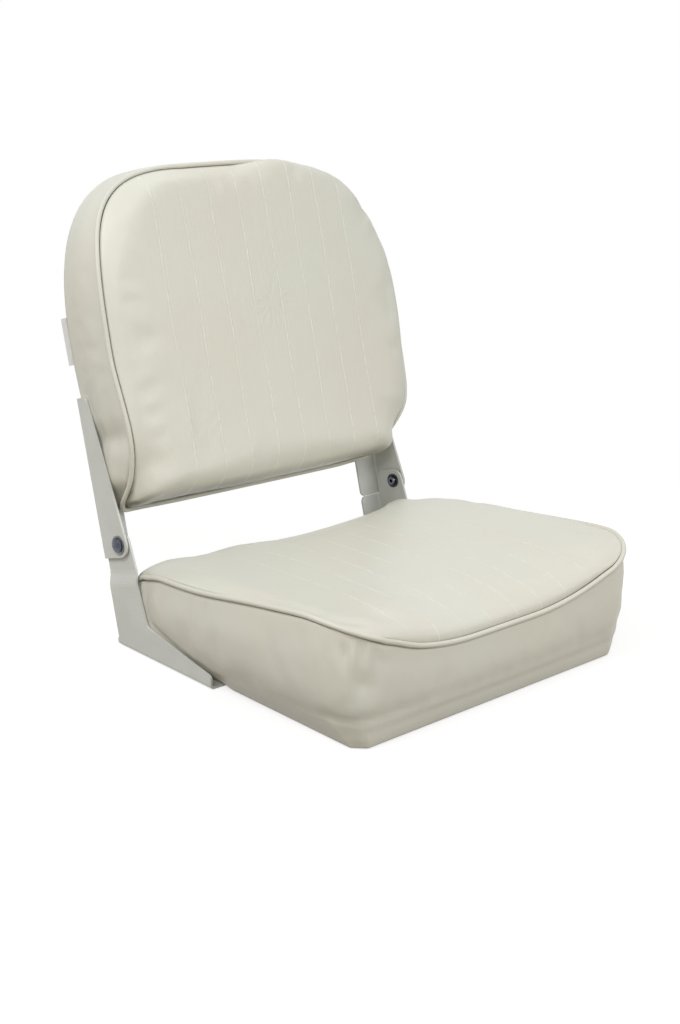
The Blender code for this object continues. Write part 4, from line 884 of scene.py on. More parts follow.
def pleat_lines(n, along, tone, normal):
    """Pressed pleat lines in dashes, with a painted highlight along each ridge and a soft dip each side."""
    x, y, z = n.separate()
    run = z if along == "Z" else y
    turn = n.math("ADD", n.product(run, PLEAT_WAVES), n.product(x, PLEAT_STAGGER))
    u = n.math("SUBTRACT", x, n.product(n.math("SINE", turn), PLEAT_SWING))
    place = n.math("ADD", n.math("DIVIDE", u, PLEAT_PITCH), PLEAT_SHIFT)
    cell = n.math("SUBTRACT", n.math("FRACT", place), 0.5)
    off = n.math("ABSOLUTE", n.product(cell, PLEAT_PITCH))
    inside = n.remap(n.math("ABSOLUTE", x), *PLEAT_ENDS)
    halo = n.product(n.remap(off, *HALO_RANGE), inside, HALO_SHARE)
    phase = n.product(n.math("FLOOR", place), DASH_STAGGER)
    dash = n.math("FRACT", n.math("ADD", n.math("DIVIDE", run, DASH_PITCH), phase))
    dash = n.remap(n.math("ABSOLUTE", n.math("SUBTRACT", dash, 0.5)), *DASH_RANGE)
    fade = n.remap(n.noise(*FADE_NOISE), *FADE_RANGE)
    line = n.product(n.remap(off, *LINE_RANGE), inside, dash, fade)
    # Painted highlight: the dashes along each ridge are mixed towards a lighter tone
    tone = n.mix(n.product(line, LINE_HIGHLIGHT_SHARE), tone, LINE_HIGHLIGHT)
    return tone, n.bump(n.math("SUBTRACT", line, halo), *LINE_BUMP, normal)


def wrinkle_fan(n, normal):
    """A small fan of wrinkles that run out from one point of the back's face."""
    x, y, z = n.separate()
    across, up = n.math("SUBTRACT", x, FAN_X), n.math("SUBTRACT", z, FAN_Z)
    reach = n.math("SQRT", n.math("ADD", n.product(across, across), n.product(up, up)))
    places = {"X": n.math("ARCTAN2", up, across), "Y": n.product(reach, FAN_WANDER)}
    folds = n.noise(*FAN_NOISE, n.add("ShaderNodeCombineXYZ", places).outputs["Vector"])
    raised = n.math("SUBTRACT", folds, 0.5)
    height = n.product(raised, n.remap(reach, *FAN_GROWN), n.remap(reach, *FAN_FADED))
    return n.bump(height, *FAN_BUMP, normal)


def vinyl(name, along=None):
    """Satin marine vinyl: fine leather grain, long faint wrinkles, and pleat lines along the axis given."""
    n = Nodes(name)
    tone = n.mix(n.remap(n.noise(*BROAD_NOISE), *BROAD_RANGE), CREAM_COOL, CREAM_WARM)
    tone = n.mix(n.remap(n.noise(*PATCH_NOISE), *PATCH_RANGE), tone, CREAM)
    pits = n.noise(*PITS_NOISE)
    normal = n.bump(n.remap(n.cells(GRAIN_SCALE), *GRAIN_RANGE), *GRAIN_BUMP)
    normal = n.bump(pits, *PITS_BUMP, normal)
    long_grain = n.noise(*LONG_NOISE, n.mapped(LONG_STRETCH))
    normal = n.bump(long_grain, *(LONG_FACE_BUMP if along else LONG_BUMP), normal)
    normal = n.bump(n.noise(*WAVE_NOISE), *WAVE_BUMP, normal)
    # Painted shade: a per-vertex attribute darkens the tone under the back's foot and beside the arms
    shadow_mask = n.add("ShaderNodeAttribute", {}, attribute_name="painted_shadow").outputs["Fac"]
    tone = n.mix(shadow_mask, tone, PAINTED_SHADOW_TONE)
    if along:
        tone, normal = pleat_lines(n, along, tone, normal)
    if along == "Z":
        normal = wrinkle_fan(n, normal)
    return n.surface(tone, n.remap(pits, *SPECK_SPREAD, *PITS_ROUGH), normal, VINYL_OTHERS)


PEEL_NOISE, PEEL_ROUGH, PEEL_BUMP = (620.0, 2.0, 0.5), (0.26, 0.36), (0.00012, 0.35)
COAT_NOISE = (22.0, 3.0, 0.5)
COAT_LIGHT, COAT_DARK = (0.640, 0.655, 0.620), (0.600, 0.612, 0.575)
COAT_OTHERS = {"Specular IOR Level": 0.5, "Coat Weight": 0.15, "Coat Roughness": 0.2}


def powder_coat(name):
    n = Nodes(name)
    peel = n.noise(*PEEL_NOISE)
    tone = n.mix(n.remap(n.noise(*COAT_NOISE), *EASED_STEP), COAT_LIGHT, COAT_DARK)
    rough = n.remap(peel, *SPECK_SPREAD, *PEEL_ROUGH)
    return n.surface(tone, rough, n.bump(peel, *PEEL_BUMP), COAT_OTHERS)


METAL_SPECK, METAL_BROAD, METAL_BUMP = (900.0, 3.0, 0.6), (160.0, 2.0, 0.5), (0.00005, 0.3)


def metal(name, light, dark, rough, metallic=1.0):
    n = Nodes(name)
    speck = n.noise(*METAL_SPECK)
    tone = n.mix(n.remap(n.noise(*METAL_BROAD), *EASED_STEP), light, dark)
    rough = n.remap(speck, *SPECK_SPREAD, *rough)
    return n.surface(tone, rough, n.bump(speck, *METAL_BUMP), {"Metallic": metallic})


WOOD_NOISE, WOOD_STRETCH, WOOD_WANDER = (1.0, 5.0, 0.62), (210, 11, 11), 0.35
WOOD_RANGE, WOOD_DARK, WOOD_LIGHT = (0.3, 0.7, 0.0, 1.0), (0.42, 0.27, 0.14), (0.62, 0.45, 0.27)
FIBRE_NOISE, FIBRE_STRETCH, FIBRE_ROUGH = (1.0, 3.0, 0.6), (1500, 60, 60), (0.62, 0.85)
FIBRE_RANGE, FIBRE_TONE = (0.35, 0.7, 0.0, 0.5), (0.34, 0.21, 0.11)
PLY_PITCH, PLY_SHARE, PLY_TONE, WOOD_BUMP = 0.0048, 0.18, (0.30, 0.18, 0.09), (0.0003, 0.4)


def plywood(name):
    n = Nodes(name)
    grain = n.noise(*WOOD_NOISE, n.mapped(WOOD_STRETCH), WOOD_WANDER)
    fine = n.noise(*FIBRE_NOISE, n.mapped(FIBRE_STRETCH))
    tone = n.mix(n.remap(grain, *WOOD_RANGE), WOOD_DARK, WOOD_LIGHT)
    tone = n.mix(n.remap(fine, *FIBRE_RANGE), tone, FIBRE_TONE)
    ply = n.math("FRACT", n.math("DIVIDE", n.separate()["Z"], PLY_PITCH))
    layer = n.product(n.math("LESS_THAN", ply, 0.5), PLY_SHARE)
    tone = n.mix(layer, tone, PLY_TONE)
    return n.surface(tone, n.remap(fine, *SPECK_SPREAD, *FIBRE_ROUGH), n.bump(grain, *WOOD_BUMP), {})


PLASTIC_NOISE, PLASTIC_RANGE, PLASTIC_BUMP = (700.0, 2.0, 0.5), (0.35, 0.65, 0.0, 1.0), (0.00006, 0.3)
PLASTIC_SHADE, PLASTIC_SPREAD = 0.93, 0.1


def plastic(name, colour, rough):
    n = Nodes(name)
    speck = n.noise(*PLASTIC_NOISE)
    tone = n.mix(n.remap(speck, *PLASTIC_RANGE), colour, tuple(c * PLASTIC_SHADE for c in colour))
    return n.surface(tone, n.remap(speck, *SPECK_SPREAD, rough, rough + PLASTIC_SPREAD),
                     n.bump(speck, *PLASTIC_BUMP), {})


WARP_PITCH, WEFT_PITCH, WEAVE_RANGE, WEAVE_BUMP = 0.0007, 0.0005, (-1.0, 1.0, 0.0, 1.0), (0.0001, 0.5)
RIBBON_DARK, RIBBON_LIGHT, RIBBON_ROUGH = (0.72, 0.72, 0.70), (0.84, 0.84, 0.83), 0.75
RIBBON_OTHERS = {"Sheen Weight": 0.2}


def ribbon(name):
    """Woven ribbon: fine crossing threads."""
    n = Nodes(name)
    x, y, z = n.separate()
    warp = n.math("SINE", n.product(z, 2 * math.pi / WARP_PITCH))
    weft = n.math("SINE", n.product(n.math("SUBTRACT", y, x), 2 * math.pi / WEFT_PITCH))
    weave = n.product(warp, weft)
    tone = n.mix(n.remap(weave, *WEAVE_RANGE), RIBBON_DARK, RIBBON_LIGHT)
    return n.surface(tone, RIBBON_ROUGH, n.bump(weave, *WEAVE_BUMP), RIBBON_OTHERS)


FACE_BACK = vinyl("vinyl_back_face", "Z")
FACE_SEAT = vinyl("vinyl_seat_face", "Y")
PLAIN = vinyl("vinyl_plain")
# A dark tone painted as shade in the groove under the piping
GROOVE_SHADE = plastic("vinyl_groove_painted_shade", (0.30, 0.288, 0.235), 0.6)
COAT = powder_coat("hinge_powder_coat")
ZINC = metal("zinc_plate", (0.120, 0.130, 0.155), (0.082, 0.090, 0.110), (0.14, 0.27))
PLATE = metal("washer_plate", (0.250, 0.262, 0.262), (0.200, 0.210, 0.212), (0.30, 0.46))
BLACK = metal("black_steel", (0.022, 0.022, 0.026), (0.035, 0.035, 0.038), (0.30, 0.48), 0.6)
NYLON = plastic("nylon_spacer", (0.74, 0.73, 0.69), 0.42)
PLY = plywood("plywood_board")
RIBBON = ribbon("tab_ribbon")

PLATES = ("upper_arm", "lower_bracket")
FASTENERS = ("seat_screw", "back_screw", "tee_nut", "pivot_rivet")
FINISHES = ((PLATES, COAT), (FASTENERS, ZINC), ("head_washer", PLATE), ("tail_washer", BLACK),
            ("pivot_spacer", NYLON), (("seat_board", "back_board"), PLY), ("seam_tab", RIBBON))
EDGE_WELD, EDGE_ROUND, EDGE_SEGMENTS, EDGE_ANGLE = 0.00001, 0.0005, 2, math.radians(50)


def soften(obj):
    """Round the cut edges of a CAD plate a little, as its coating does."""
    weld = obj.modifiers.new("weld", "WELD")
    weld.merge_threshold = EDGE_WELD
    bevel = obj.modifiers.new("edge", "BEVEL")
    bevel.width = EDGE_ROUND
    bevel.segments = EDGE_SEGMENTS
    bevel.limit_method = "ANGLE"
    bevel.angle_limit = EDGE_ANGLE


def build_frame():
    for node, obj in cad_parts.items():
        for names, finish in FINISHES:
            if node.startswith(names):
                obj.data.materials.clear()
                obj.data.materials.append(finish)
        if node.startswith(PLATES):
            soften(obj)


# Both cushions

def paint_shadow(obj, amount):
    """Painted shade under and behind the folds, from 0 to 1 at each vertex."""
    layer = obj.data.attributes.new("painted_shadow", "FLOAT", "POINT")
    layer.data.foreach_set("value", np.clip(amount, 0, 1).astype(np.float32))


def paint_faces(obj, first_groove, count, face_finish):
    """The face takes the pleated vinyl, the groove under the piping a dark tone as painted shade, and the
    rest the plain one.
    """
    for finish in (PLAIN, face_finish, GROOVE_SHADE):
        obj.data.materials.append(finish)
    slots = np.zeros(len(obj.data.polygons), np.int32)
    fan = len(obj.data.vertices) - 2
    for poly in obj.data.polygons:
        low = min(poly.vertices)
        if fan in poly.vertices or low < first_groove:
            continue
        # Groove faces take the dark painted shade, the face the pleated vinyl
        slots[poly.index] = 2 if low < first_groove + 3 * count else 1
    obj.data.polygons.foreach_set("material_index", slots)
    obj.data.update()


def cut_face(mesh, place):
    """Cut the pleated face along a plane of equal x."""
    faces = [f for f in mesh.faces if f.material_index == 1
             and min(v.co.x for v in f.verts) < place < max(v.co.x for v in f.verts)]
    edges = {e for f in faces for e in f.edges}
    verts = {v for f in faces for v in f.verts}
    bmesh.ops.bisect_plane(mesh, geom=[*faces, *edges, *verts], dist=PLEAT_WELD, plane_co=(place, 0, 0),
                           plane_no=(1, 0, 0), use_snap_center=True)


def press_pleats(obj, run_axis, forward):
    """Raise a fine ridge along each pleat line, easing out where the face turns down to its seam."""
    forward = Vector(forward)
    mesh = bmesh.new()
    mesh.from_mesh(obj.data)
    for line in range(-PLEAT_COUNT, PLEAT_COUNT):
        for step in (-2, -1, 0, 1, 2):
            cut_face(mesh, (line + 0.5) * PLEAT_PITCH + step * PLEAT_HALF)
    mesh.normal_update()
    moves = []
    for vert in mesh.verts:
        middle = (math.floor(vert.co.x / PLEAT_PITCH) + 0.5) * PLEAT_PITCH
        off = abs(vert.co.x - middle)
        on_face = all(f.material_index == 1 for f in vert.link_faces)
        if not on_face or off > PLEAT_FADE or abs(middle) > PLEAT_COUNT * PLEAT_PITCH:
            continue
        beside = min(1.0, (PLEAT_FADE - off) / (PLEAT_FADE - 2 * PLEAT_HALF))
        flat = limited((vert.normal.dot(forward) - PLEAT_FLAT) / PLEAT_FLAT_SPAN)
        sway = PLEAT_SWING * math.sin(PLEAT_WAVES * vert.co[run_axis] + PLEAT_STAGGER * middle)
        lift = PLEAT_HEIGHT * flat * max(0.0, 1 - off / PLEAT_HALF)
        moves.append((vert, vert.normal * lift + Vector((sway * flat * beside, 0, 0))))
    for vert, move in moves:
        vert.co += move
    mesh.to_mesh(obj.data)
    mesh.free()
    obj.data.update()


# Build: seat cushion. A crease has its two ends, a width and a depth.

SEAT_CREASES = (
    ((0.205, 0.262, -0.004), (0.196, 0.300, -0.040), 0.0040, 0.0008),
    ((0.190, 0.318, 0.000), (0.150, 0.338, -0.032), 0.0045, 0.0009),
    ((0.178, 0.330, -0.030), (0.192, 0.316, -0.078), 0.0045, 0.0008),
    ((0.214, 0.120, -0.020), (0.205, 0.128, -0.072), 0.0045, 0.0006),
    ((0.212, 0.205, -0.050), (0.200, 0.222, -0.086), 0.0050, 0.0006),
    ((0.168, 0.326, -0.078), (0.176, 0.322, -0.101), 0.0030, 0.0008),
    ((0.178, 0.316, -0.078), (0.184, 0.312, -0.101), 0.0030, 0.0007),
)
LEFT_SEAT_CREASES = (
    ((-0.188, 0.336, -0.031), (-0.180, 0.340, -0.045), 0.0034, 0.0014),
    ((-0.217, 0.162, -0.008), (-0.215, 0.158, -0.036), 0.0036, 0.0017),
    ((-0.205, 0.240, -0.030), (-0.200, 0.296, -0.062), 0.0050, 0.0005),
)
# Short puckers round the front left corner: an angle in degrees, a height and a depth
CORNER_PUCKERS = ((26, -0.004, 0.0016), (45, -0.002, 0.0024), (61, -0.003, 0.0020), (78, -0.006, 0.0015))
PUCKER_U, PUCKER_V, PUCKER_RADIUS, PUCKER_FALL, PUCKER_WIDTH = -0.1628, 0.294, 0.0485, 0.022, 0.0036
PUCKER_LEAN, PUCKER_UPRIGHT, PUCKER_FAN = 0.0015, 50, 25
KINK_LEVEL, KINK_ALONG, KINK_DEPTH = (HEM_LEVEL + 0.0285, 0.0055), (0.150, 0.030), 0.0007
KINK_CORNER_DEPTH, KINK_CORNER_U, KINK_CORNER_V = 0.0020, (-0.170, 0.060), (0.320, 0.060)
STRAP_LEVEL, STRAP_DEPTH, OUTSIDE_SHARES = (HEM_LEVEL + 0.0145, 0.0040), 0.0010, (0.97, 0.03)


def seat_shape(seam):
    side = ramp(np.abs(seam[:, 0]), *SEAT_POWER_SIDE)
    power = SEAT_FACE_POWER + (SEAT_SIDE_POWER - SEAT_FACE_POWER) * side
    roll = SEAT_ROLL * (SEAT_ROLL_SHARE + (1 - SEAT_ROLL_SHARE) * side)
    return power, np.full(len(seam), SEAT_SHOULDER), roll


def seat_underside():
    """Rows over the board's edge, round it and under it, then back out along the hem."""
    rim, turned = BOARD_INSET - BOARD_OVERLAP, BOARD_LEVEL - FIT
    places = ((BOARD_INSET + BOARD_MIDDLE, BOARD_TOP), (rim, BOARD_TOP), (rim, turned), (HEM_WIDTH, turned),
              (HEM_WIDTH, HEM_LEVEL), (HEM_WIDTH / 2, HEM_LEVEL), (SEAT_BASE_ROUND + HEM_TURN, HEM_LEVEL),
              (SEAT_BASE_ROUND * HEM_TURN_SHARE, HEM_LEVEL + HEM_TURN_RISE),
              (0.0, HEM_LEVEL + SEAT_BASE_ROUND))
    return [seat_base(*place) for place in places]


def seat_free(seam_tree, co):
    """How free the cloth is: not at the seam, the hem and the board's pocket, nor beside the brackets."""
    u, v, w = row_to_seat(co).T
    edge = ramp(np.maximum(w - leg_top(v), v - BRACKET_REACH), 0, HOLD_SPAN)
    open_side = edge * np.maximum(ramp(v, *UPRIGHT_HOLD), ramp(w, 0, UPRIGHT_TOP_SPAN))
    hold = np.where(np.abs(u) > SEAT_HOLD_SIDE, open_side, 1.0)
    return away_from(seam_tree, co) * ramp(w, *HEM_HOLD) * hold * (w >= POCKET_HOLD)


def finish_seat(obj):
    """Tuck and fold marks on the seat cover."""
    skin = Skin(obj, row_to_seat)
    skin.creases(SEAT_CREASES, LEFT_SEAT_CREASES)
    for degrees, top, depth in CORNER_PUCKERS:
        a = math.radians(degrees)
        out = np.array((-math.cos(a), math.sin(a), 0.0))
        place = np.array((PUCKER_U, PUCKER_V, top)) + PUCKER_RADIUS * out
        lean = PUCKER_LEAN * (degrees - PUCKER_UPRIGHT) / PUCKER_FAN
        skin.crease(place, place + np.array((lean, 0.0, -PUCKER_FALL)), PUCKER_WIDTH, depth)
    u, v, w = skin.local.T
    corner = bell(u, *KINK_CORNER_U) * bell(v, *KINK_CORNER_V)
    kink = bell(w, *KINK_LEVEL) * ramp(v, *KINK_ALONG)
    outside = ramp(np.maximum(np.abs(u) / SEAT_BASE_HALF, v / SEAT_BASE_FRONT), *OUTSIDE_SHARES)
    depth = bell(w, *STRAP_LEVEL) * STRAP_DEPTH + kink * (KINK_DEPTH + KINK_CORNER_DEPTH * corner)
    skin.press(depth * outside)
    local = clear_of_bracket(row_to_seat(skin.co), SKIN_ROOM, SEAT_SKIN_SOFT)
    local[:, 2] = np.maximum(local[:, 2], HEM_LEVEL - HEM_SAG)
    set_coords(obj.data, seat_to_row(local))


def build_seat():
    seam = seat_seam()
    under = seat_underside()
    face = face_rows(seam, SEAT_CENTRE, seat_top, seat_shape)
    band = seat_rows(under[-1], seam)
    to_face, to_band, inward, half = seam_frame(seam, face[1], band[-1], SEAT_CENTRE)
    tuck = np.full(len(seam), SEAT_TUCK)
    groove = seam_groove(seam, to_face, to_band, inward, tuck)
    rows = [seat_to_row(r) for r in under + band + groove + face]
    start = seat_to_row(np.array([0, SEAT_CENTRE, BOARD_TOP]))
    end = seat_to_row(np.array([0, SEAT_CENTRE, float(seat_top(0.0, SEAT_CENTRE))]))
    obj = closed_mesh("seat_cushion", rows, start, end)
    seam_tree = tree_of(seat_to_row(seam))
    puff(obj, lambda co: seat_free(seam_tree, co), SEAT_PUFF)
    finish_seat(obj)
    paint_faces(obj, (len(under) + len(band)) * len(seam), len(seam), FACE_SEAT)
    press_pleats(obj, 1, (0, 0, 1))
    piping = cord("seat_cord", seat_to_row(welt_centre(seam, inward, half, tuck)))
    for piece in (obj, piping):
        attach(piece, "seat")
    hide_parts("seat_top_panel", "seat_boxing", "seat_foam")
    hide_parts("seat_piping")


# Build: back cushion

BACK_CREASES = (
    ((0.196, 0.120, 0.020), (0.190, 0.075, -0.012), 0.0045, 0.0008),
    ((0.175, 0.318, 0.036), (0.150, 0.290, 0.054), 0.0060, 0.0006),
    ((0.199, 0.175, 0.030), (0.199, 0.150, -0.010), 0.0050, 0.0006),
)
LEFT_BACK_CREASES = (
    ((-0.199, 0.182, 0.020), (-0.192, 0.060, 0.016), 0.0050, 0.0011),
    ((-0.120, 0.156, 0.056), (-0.110, 0.056, 0.056), 0.0075, 0.0012),
)
# Where the painted shade falls: on cover facing down at the foot, less to the right, and low in the gap
# beside the arms
SHADOW_DOWN, SHADOW_FOOT = (0.25, 0.45), (BACK_BOTTOM + 0.002, 0.012)
SHADOW_RIGHT, SHADOW_RIGHT_SHARE = (-0.08, 0.10), 0.5
SHADOW_SIDE, SHADOW_LOW, SHADOW_FRONT = (0.180, 0.008), (0.045, 0.030), 0.02
SHADOW_FOOT_SHARE, SHADOW_GAP_SHARE = 0.75, 0.6


def back_shape(seam):
    """Wide soft shoulders low on the sides, narrow ones above, and a short full turn at the foot."""
    foot = 1 - ramp(seam[:, 1], BACK_BOTTOM + ROLL_FOOT_CLEAR, ROLL_FOOT_SPAN)
    low = 1 - ramp(seam[:, 1], *SHOULDER_LOW_ALONG)
    side, top = rolled(seam), rolled_top(seam)
    power = FACE_POWER_UPPER + (FACE_POWER_LOW - FACE_POWER_UPPER) * low
    power = power + (FACE_POWER_ROLLED - power) * side
    power = power + (FACE_POWER_FOOT - power) * foot
    ratio = SHOULDER_UPPER + (SHOULDER_LOW - SHOULDER_UPPER) * low
    ratio = ratio + (SHOULDER_FOOT - ratio) * foot
    roll = ROLL_LEFT + (ROLL_SIDE - ROLL_LEFT) * side + (ROLL_TOP - ROLL_SIDE) * top
    middle = 1 - ramp(np.abs(seam[:, 0]), *ROLL_FOOT_SIDE)
    roll = roll + (ROLL_FOOT * middle - roll) * foot
    return power, ratio, roll


def back_rear(base):
    """Rows of the rear panel from near its middle out to its rounded edge."""
    way = to_middle(base, BACK_CENTRE)
    inward = unit(way)
    level = np.full(len(base), REAR_SKIN_LEVEL)
    rows = [np.column_stack([base[:, :2] + way * share, level]) for share in REAR_SHARES]
    rows += [np.column_stack([base[:, :2] + inward * inset, level + rise]) for inset, rise in REAR_INSETS]
    return rows + [base + np.array([0, 0, REAR_TURN])]


def back_free(seam_tree, co):
    """How free the cloth is: not at the seam and the rear, nor beside the arms."""
    u, v, w = row_to_back(co).T
    edge = ramp(np.maximum(w - arm_front(v), v - ARM_HEIGHT), 0, HOLD_SPAN)
    hold = np.where(np.abs(u) > BACK_HOLD_SIDE, edge, 1.0)
    return away_from(seam_tree, co) * ramp(w, *REAR_HOLD) * hold


def finish_back(obj):
    """Creases on the back's cover, and painted shade under its foot and in the gap to the arms."""
    skin = Skin(obj, row_to_back)
    skin.creases(BACK_CREASES, LEFT_BACK_CREASES)
    local = clear_of_arm(row_to_back(skin.co), SKIN_ROOM, BACK_SKIN_SOFT)
    set_coords(obj.data, back_to_row(local))
    # Painted shade, strongest where the cover faces down at its foot and low in the gap to the arms
    nrm = normals(obj.data)
    down = -(nrm[:, 1] * math.sin(RECLINE) + nrm[:, 2] * math.cos(RECLINE))
    u, v, w = local.T
    foot = ramp(down, *SHADOW_DOWN) * (1 - ramp(v, *SHADOW_FOOT)) * (1 - SHADOW_RIGHT_SHARE * ramp(u, *SHADOW_RIGHT))
    gap = ramp(np.abs(u), *SHADOW_SIDE) * (1 - ramp(v, *SHADOW_LOW)) * (w < SHADOW_FRONT)
    paint_shadow(obj, SHADOW_FOOT_SHARE * foot + SHADOW_GAP_SHARE * gap)


def build_back():
    seam, base, draw = back_loops()
    base = clear_of_arm(base)
    rear = back_rear(base)
    face = face_rows(seam, BACK_CENTRE, back_face, back_shape)
    band = back_rows(base, seam, draw)
    to_face, to_band, inward, half = seam_frame(seam, face[1], band[-1], BACK_CENTRE)
    tuck = BACK_TUCK + BACK_TUCK_ROLLED * rolled_top(seam)
    groove = seam_groove(seam, to_face, to_band, inward, tuck)
    rows = [back_to_row(r) for r in rear + band + groove + face]
    rear_middle = back_to_row(np.array([0, BACK_CENTRE, REAR_SKIN_LEVEL]))
    end = back_to_row(np.array([0, BACK_CENTRE, float(back_face(0.0, BACK_CENTRE))]))
    forward = unit(end - rear_middle)
    obj = closed_mesh("back_cushion", rows, rear_middle, end)
    seam_tree = tree_of(back_to_row(seam))
    puff(obj, lambda co: back_free(seam_tree, co), BACK_PUFF)
    finish_back(obj)
    paint_faces(obj, (len(rear) + len(band)) * len(seam), len(seam), FACE_BACK)
    press_pleats(obj, 2, forward)
    piping = cord("back_cord", back_to_row(welt_centre(seam, inward, half, tuck)))
    for piece in (obj, piping):
        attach(piece, "backrest")
        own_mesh(piece)
    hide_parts("back_face_panel", "back_boxing", "back_foam", "back_rear_panel")
    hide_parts("back_piping")


# Build: staples

STAPLE_SHARE, STAPLE_FIRST, STAPLE_PITCH, STAPLE_TURN = 0.62, 0.012, 0.030, 0.15
STAPLE_HALF, STAPLE_WIDE, STAPLE_TALL, STAPLE_SIDES, STAPLE_NECK = 0.0052, 0.00055, 0.0006, 8, 0.04
STAPLE_SIDE, STAPLE_CLEAR, STAPLE_ALONG = 0.150, 0.01, 0.9


def staple(p, d, first):
    """Points and faces of one staple at p along d, the first of its points being the number given."""
    side = np.array([-d[1], d[0], 0])
    verts, faces = [], []
    for k in range(STAPLE_SIDES):
        a = 2 * math.pi * k / STAPLE_SIDES
        rise = np.array([0, 0, STAPLE_TALL / 2 * (math.sin(a) - 1)])
        for end in (-1, 1):
            reach = STAPLE_HALF * end * (1 - STAPLE_NECK * (1 + math.sin(a)))
            verts.append(p + d * reach + side * STAPLE_WIDE * math.cos(a) + rise)
        low, high = first + 2 * k, first + 2 * ((k + 1) % STAPLE_SIDES)
        faces.append((low, high, high + 1, low + 1))
    faces.append(tuple(first + 2 * k for k in range(STAPLE_SIDES))[::-1])
    faces.append(tuple(first + 2 * k + 1 for k in range(STAPLE_SIDES)))
    return verts, faces


def build_staples():
    """Staples that hold the hem to the board, all round its underside."""
    loop = seat_base(HEM_WIDTH * STAPLE_SHARE, HEM_LEVEL)
    s = run_lengths(np.roll(loop, -1, 0) - loop)
    verts, faces = [], []
    for place in np.arange(STAPLE_FIRST, s[-1], STAPLE_PITCH):
        i = int(np.searchsorted(s, place)) - 1
        p = loop[i]
        d = unit((loop[(i + 1) % len(loop)] - p) * np.array([1, 1, 0]))
        if abs(p[0]) > STAPLE_SIDE and p[1] < BRACKET_REACH + STAPLE_CLEAR and abs(d[1]) > STAPLE_ALONG:
            continue
        turn = rng.uniform(-STAPLE_TURN, STAPLE_TURN)
        d = unit(d * math.cos(turn) + np.array([-d[1], d[0], 0]) * math.sin(turn))
        more_verts, more_faces = staple(p, d, len(verts))
        verts += more_verts
        faces += more_faces
    mesh = new_mesh("hem_staples", seat_to_row(np.array(verts)), faces)
    mesh.shade_smooth()
    mesh.materials.append(ZINC)
    obj = new_object("hem_staples", mesh)
    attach(obj, "seat")


# Stage, light and camera

FLOOR_HALF, FLOOR_LEVEL = 4.0, PIVOT[2] - PIVOT_DROP - 0.0004
SHADE_RANGE, GLOW_RANGE = (0.45, 1.05, 1.0, 0.0, True), (0.0, 1.0, 1.0, 0.66)
PAPER_FAR, PAPER_NEAR = (0.0, 0.0, 0.0), (0.46, 0.46, 0.46)
BOUNCE = {"Base Color": (0.26, 0.215, 0.150), "Roughness": 0.9, "Specular IOR Level": 0.0}
WHITE, WORLD_LIGHT, WORLD_SEEN = (1.0, 1.0, 1.0, 1.0), 0.475, 1.0
LAMP_TARGET = Vector((0, 0, 0.15))
LAMPS = (("top", (0.6, 0.7, 2.2), 1.4, 3), ("side", (-1.9, 0.2, 2.3), 1.0, 29),
         ("key", (-1.7, -1.6, 1.7), 0.45, 17), ("front", (1.1, -2.3, 1.5), 1.6, 21))
CAMERA_ANGLES = (-43.96, 17.12, 1.97)
CAMERA_PLACE = (-1.0752, -1.2275 + PIVOT[1], 0.5023 + PIVOT[2])
CAMERA_SENSOR, CAMERA_LENS = 36, 54.81


def light_paths(tree):
    """1 for camera, glossy and transmission rays, which see the white surround."""
    path = tree.nodes.new("ShaderNodeLightPath")
    seen = path.outputs["Is Camera Ray"]
    for name in ("Is Glossy Ray", "Is Transmission Ray"):
        either = tree.nodes.new("ShaderNodeMath")
        either.operation = "MAXIMUM"
        tree.links.new(seen, either.inputs[0])
        tree.links.new(path.outputs[name], either.inputs[1])
        seen = either.outputs[0]
    return seen


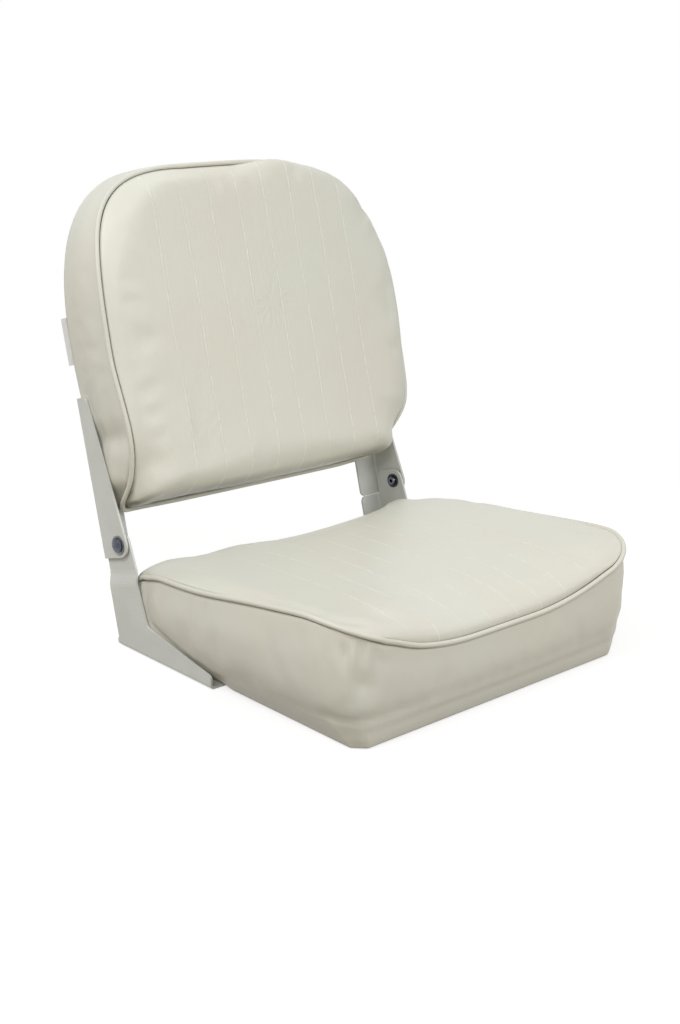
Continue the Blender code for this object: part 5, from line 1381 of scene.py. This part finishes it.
def floor_paper():
    """White to the eye, with the object's soft shadow near it, and a dim warm bounce."""
    n = Nodes("floor_paper")
    length = n.add("ShaderNodeVectorMath", {0: n.place}, operation="LENGTH").outputs["Value"]
    near = n.remap(length, *SHADE_RANGE)
    glow = n.add("ShaderNodeEmission", {"Strength": n.remap(near, *GLOW_RANGE)}).outputs[0]
    paper = n.add("ShaderNodeBsdfDiffuse", {"Color": n.mix(near, PAPER_FAR, PAPER_NEAR)}).outputs[0]
    seen_side = n.add("ShaderNodeAddShader", {0: glow, 1: paper}).outputs[0]
    for key, value in BOUNCE.items():
        n.feed(n.shader.inputs[key], value)
    sides = {0: light_paths(n.tree), 1: n.shader.outputs[0], 2: seen_side}
    choose = n.add("ShaderNodeMixShader", sides).outputs[0]
    n.feed(n.tree.nodes["Material Output"].inputs["Surface"], choose)
    return n.material


def build_stage():
    r, z = FLOOR_HALF, FLOOR_LEVEL
    mesh = new_mesh("floor", [(-r, -r, z), (r, -r, z), (r, r, z), (-r, r, z)], [(0, 1, 2, 3)])
    mesh.materials.append(floor_paper())
    floor = new_object("floor", mesh)
    world = bpy.data.worlds.new("studio")
    bpy.context.scene.world = world
    world.use_nodes = True
    tree = world.node_tree
    back = tree.nodes["Background"]
    back.inputs["Color"].default_value = WHITE
    strength = tree.nodes.new("ShaderNodeMapRange")
    strength.inputs["To Min"].default_value = WORLD_LIGHT
    strength.inputs["To Max"].default_value = WORLD_SEEN
    tree.links.new(light_paths(tree), strength.inputs["Value"])
    tree.links.new(strength.outputs["Result"], back.inputs["Strength"])


def build_lights():
    for name, place, size, power in LAMPS:
        light = bpy.data.lights.new(name, "AREA")
        light.shape = "DISK"
        light.size = size
        light.energy = power
        obj = new_object(name, light)
        obj.location = place
        obj.rotation_euler = (LAMP_TARGET - Vector(place)).to_track_quat("-Z", "Y").to_euler()


def build_camera():
    az, el, roll = [math.radians(angle) for angle in CAMERA_ANGLES]
    back = Vector((math.sin(az) * math.cos(el), -math.cos(az) * math.cos(el), math.sin(el)))
    right = (-back).cross(Vector((0, 0, 1))).normalized()
    up = right.cross(-back)
    tilted_right = math.cos(roll) * right + math.sin(roll) * up
    tilted_up = -math.sin(roll) * right + math.cos(roll) * up
    matrix = Matrix((tilted_right, tilted_up, back)).transposed().to_4x4()
    matrix.translation = Vector(CAMERA_PLACE)
    data = bpy.data.cameras.new("photo_camera")
    data.sensor_width = CAMERA_SENSOR
    data.lens = CAMERA_LENS
    camera = new_object("photo_camera", data)
    camera.matrix_world = matrix
    bpy.context.scene.camera = camera


build_camera()
build_seat()
build_back()
build_staples()
build_frame()
build_stage()
build_lights()
bpy.context.scene.view_settings.view_transform = "Standard"

bpy.context.view_layer.update()
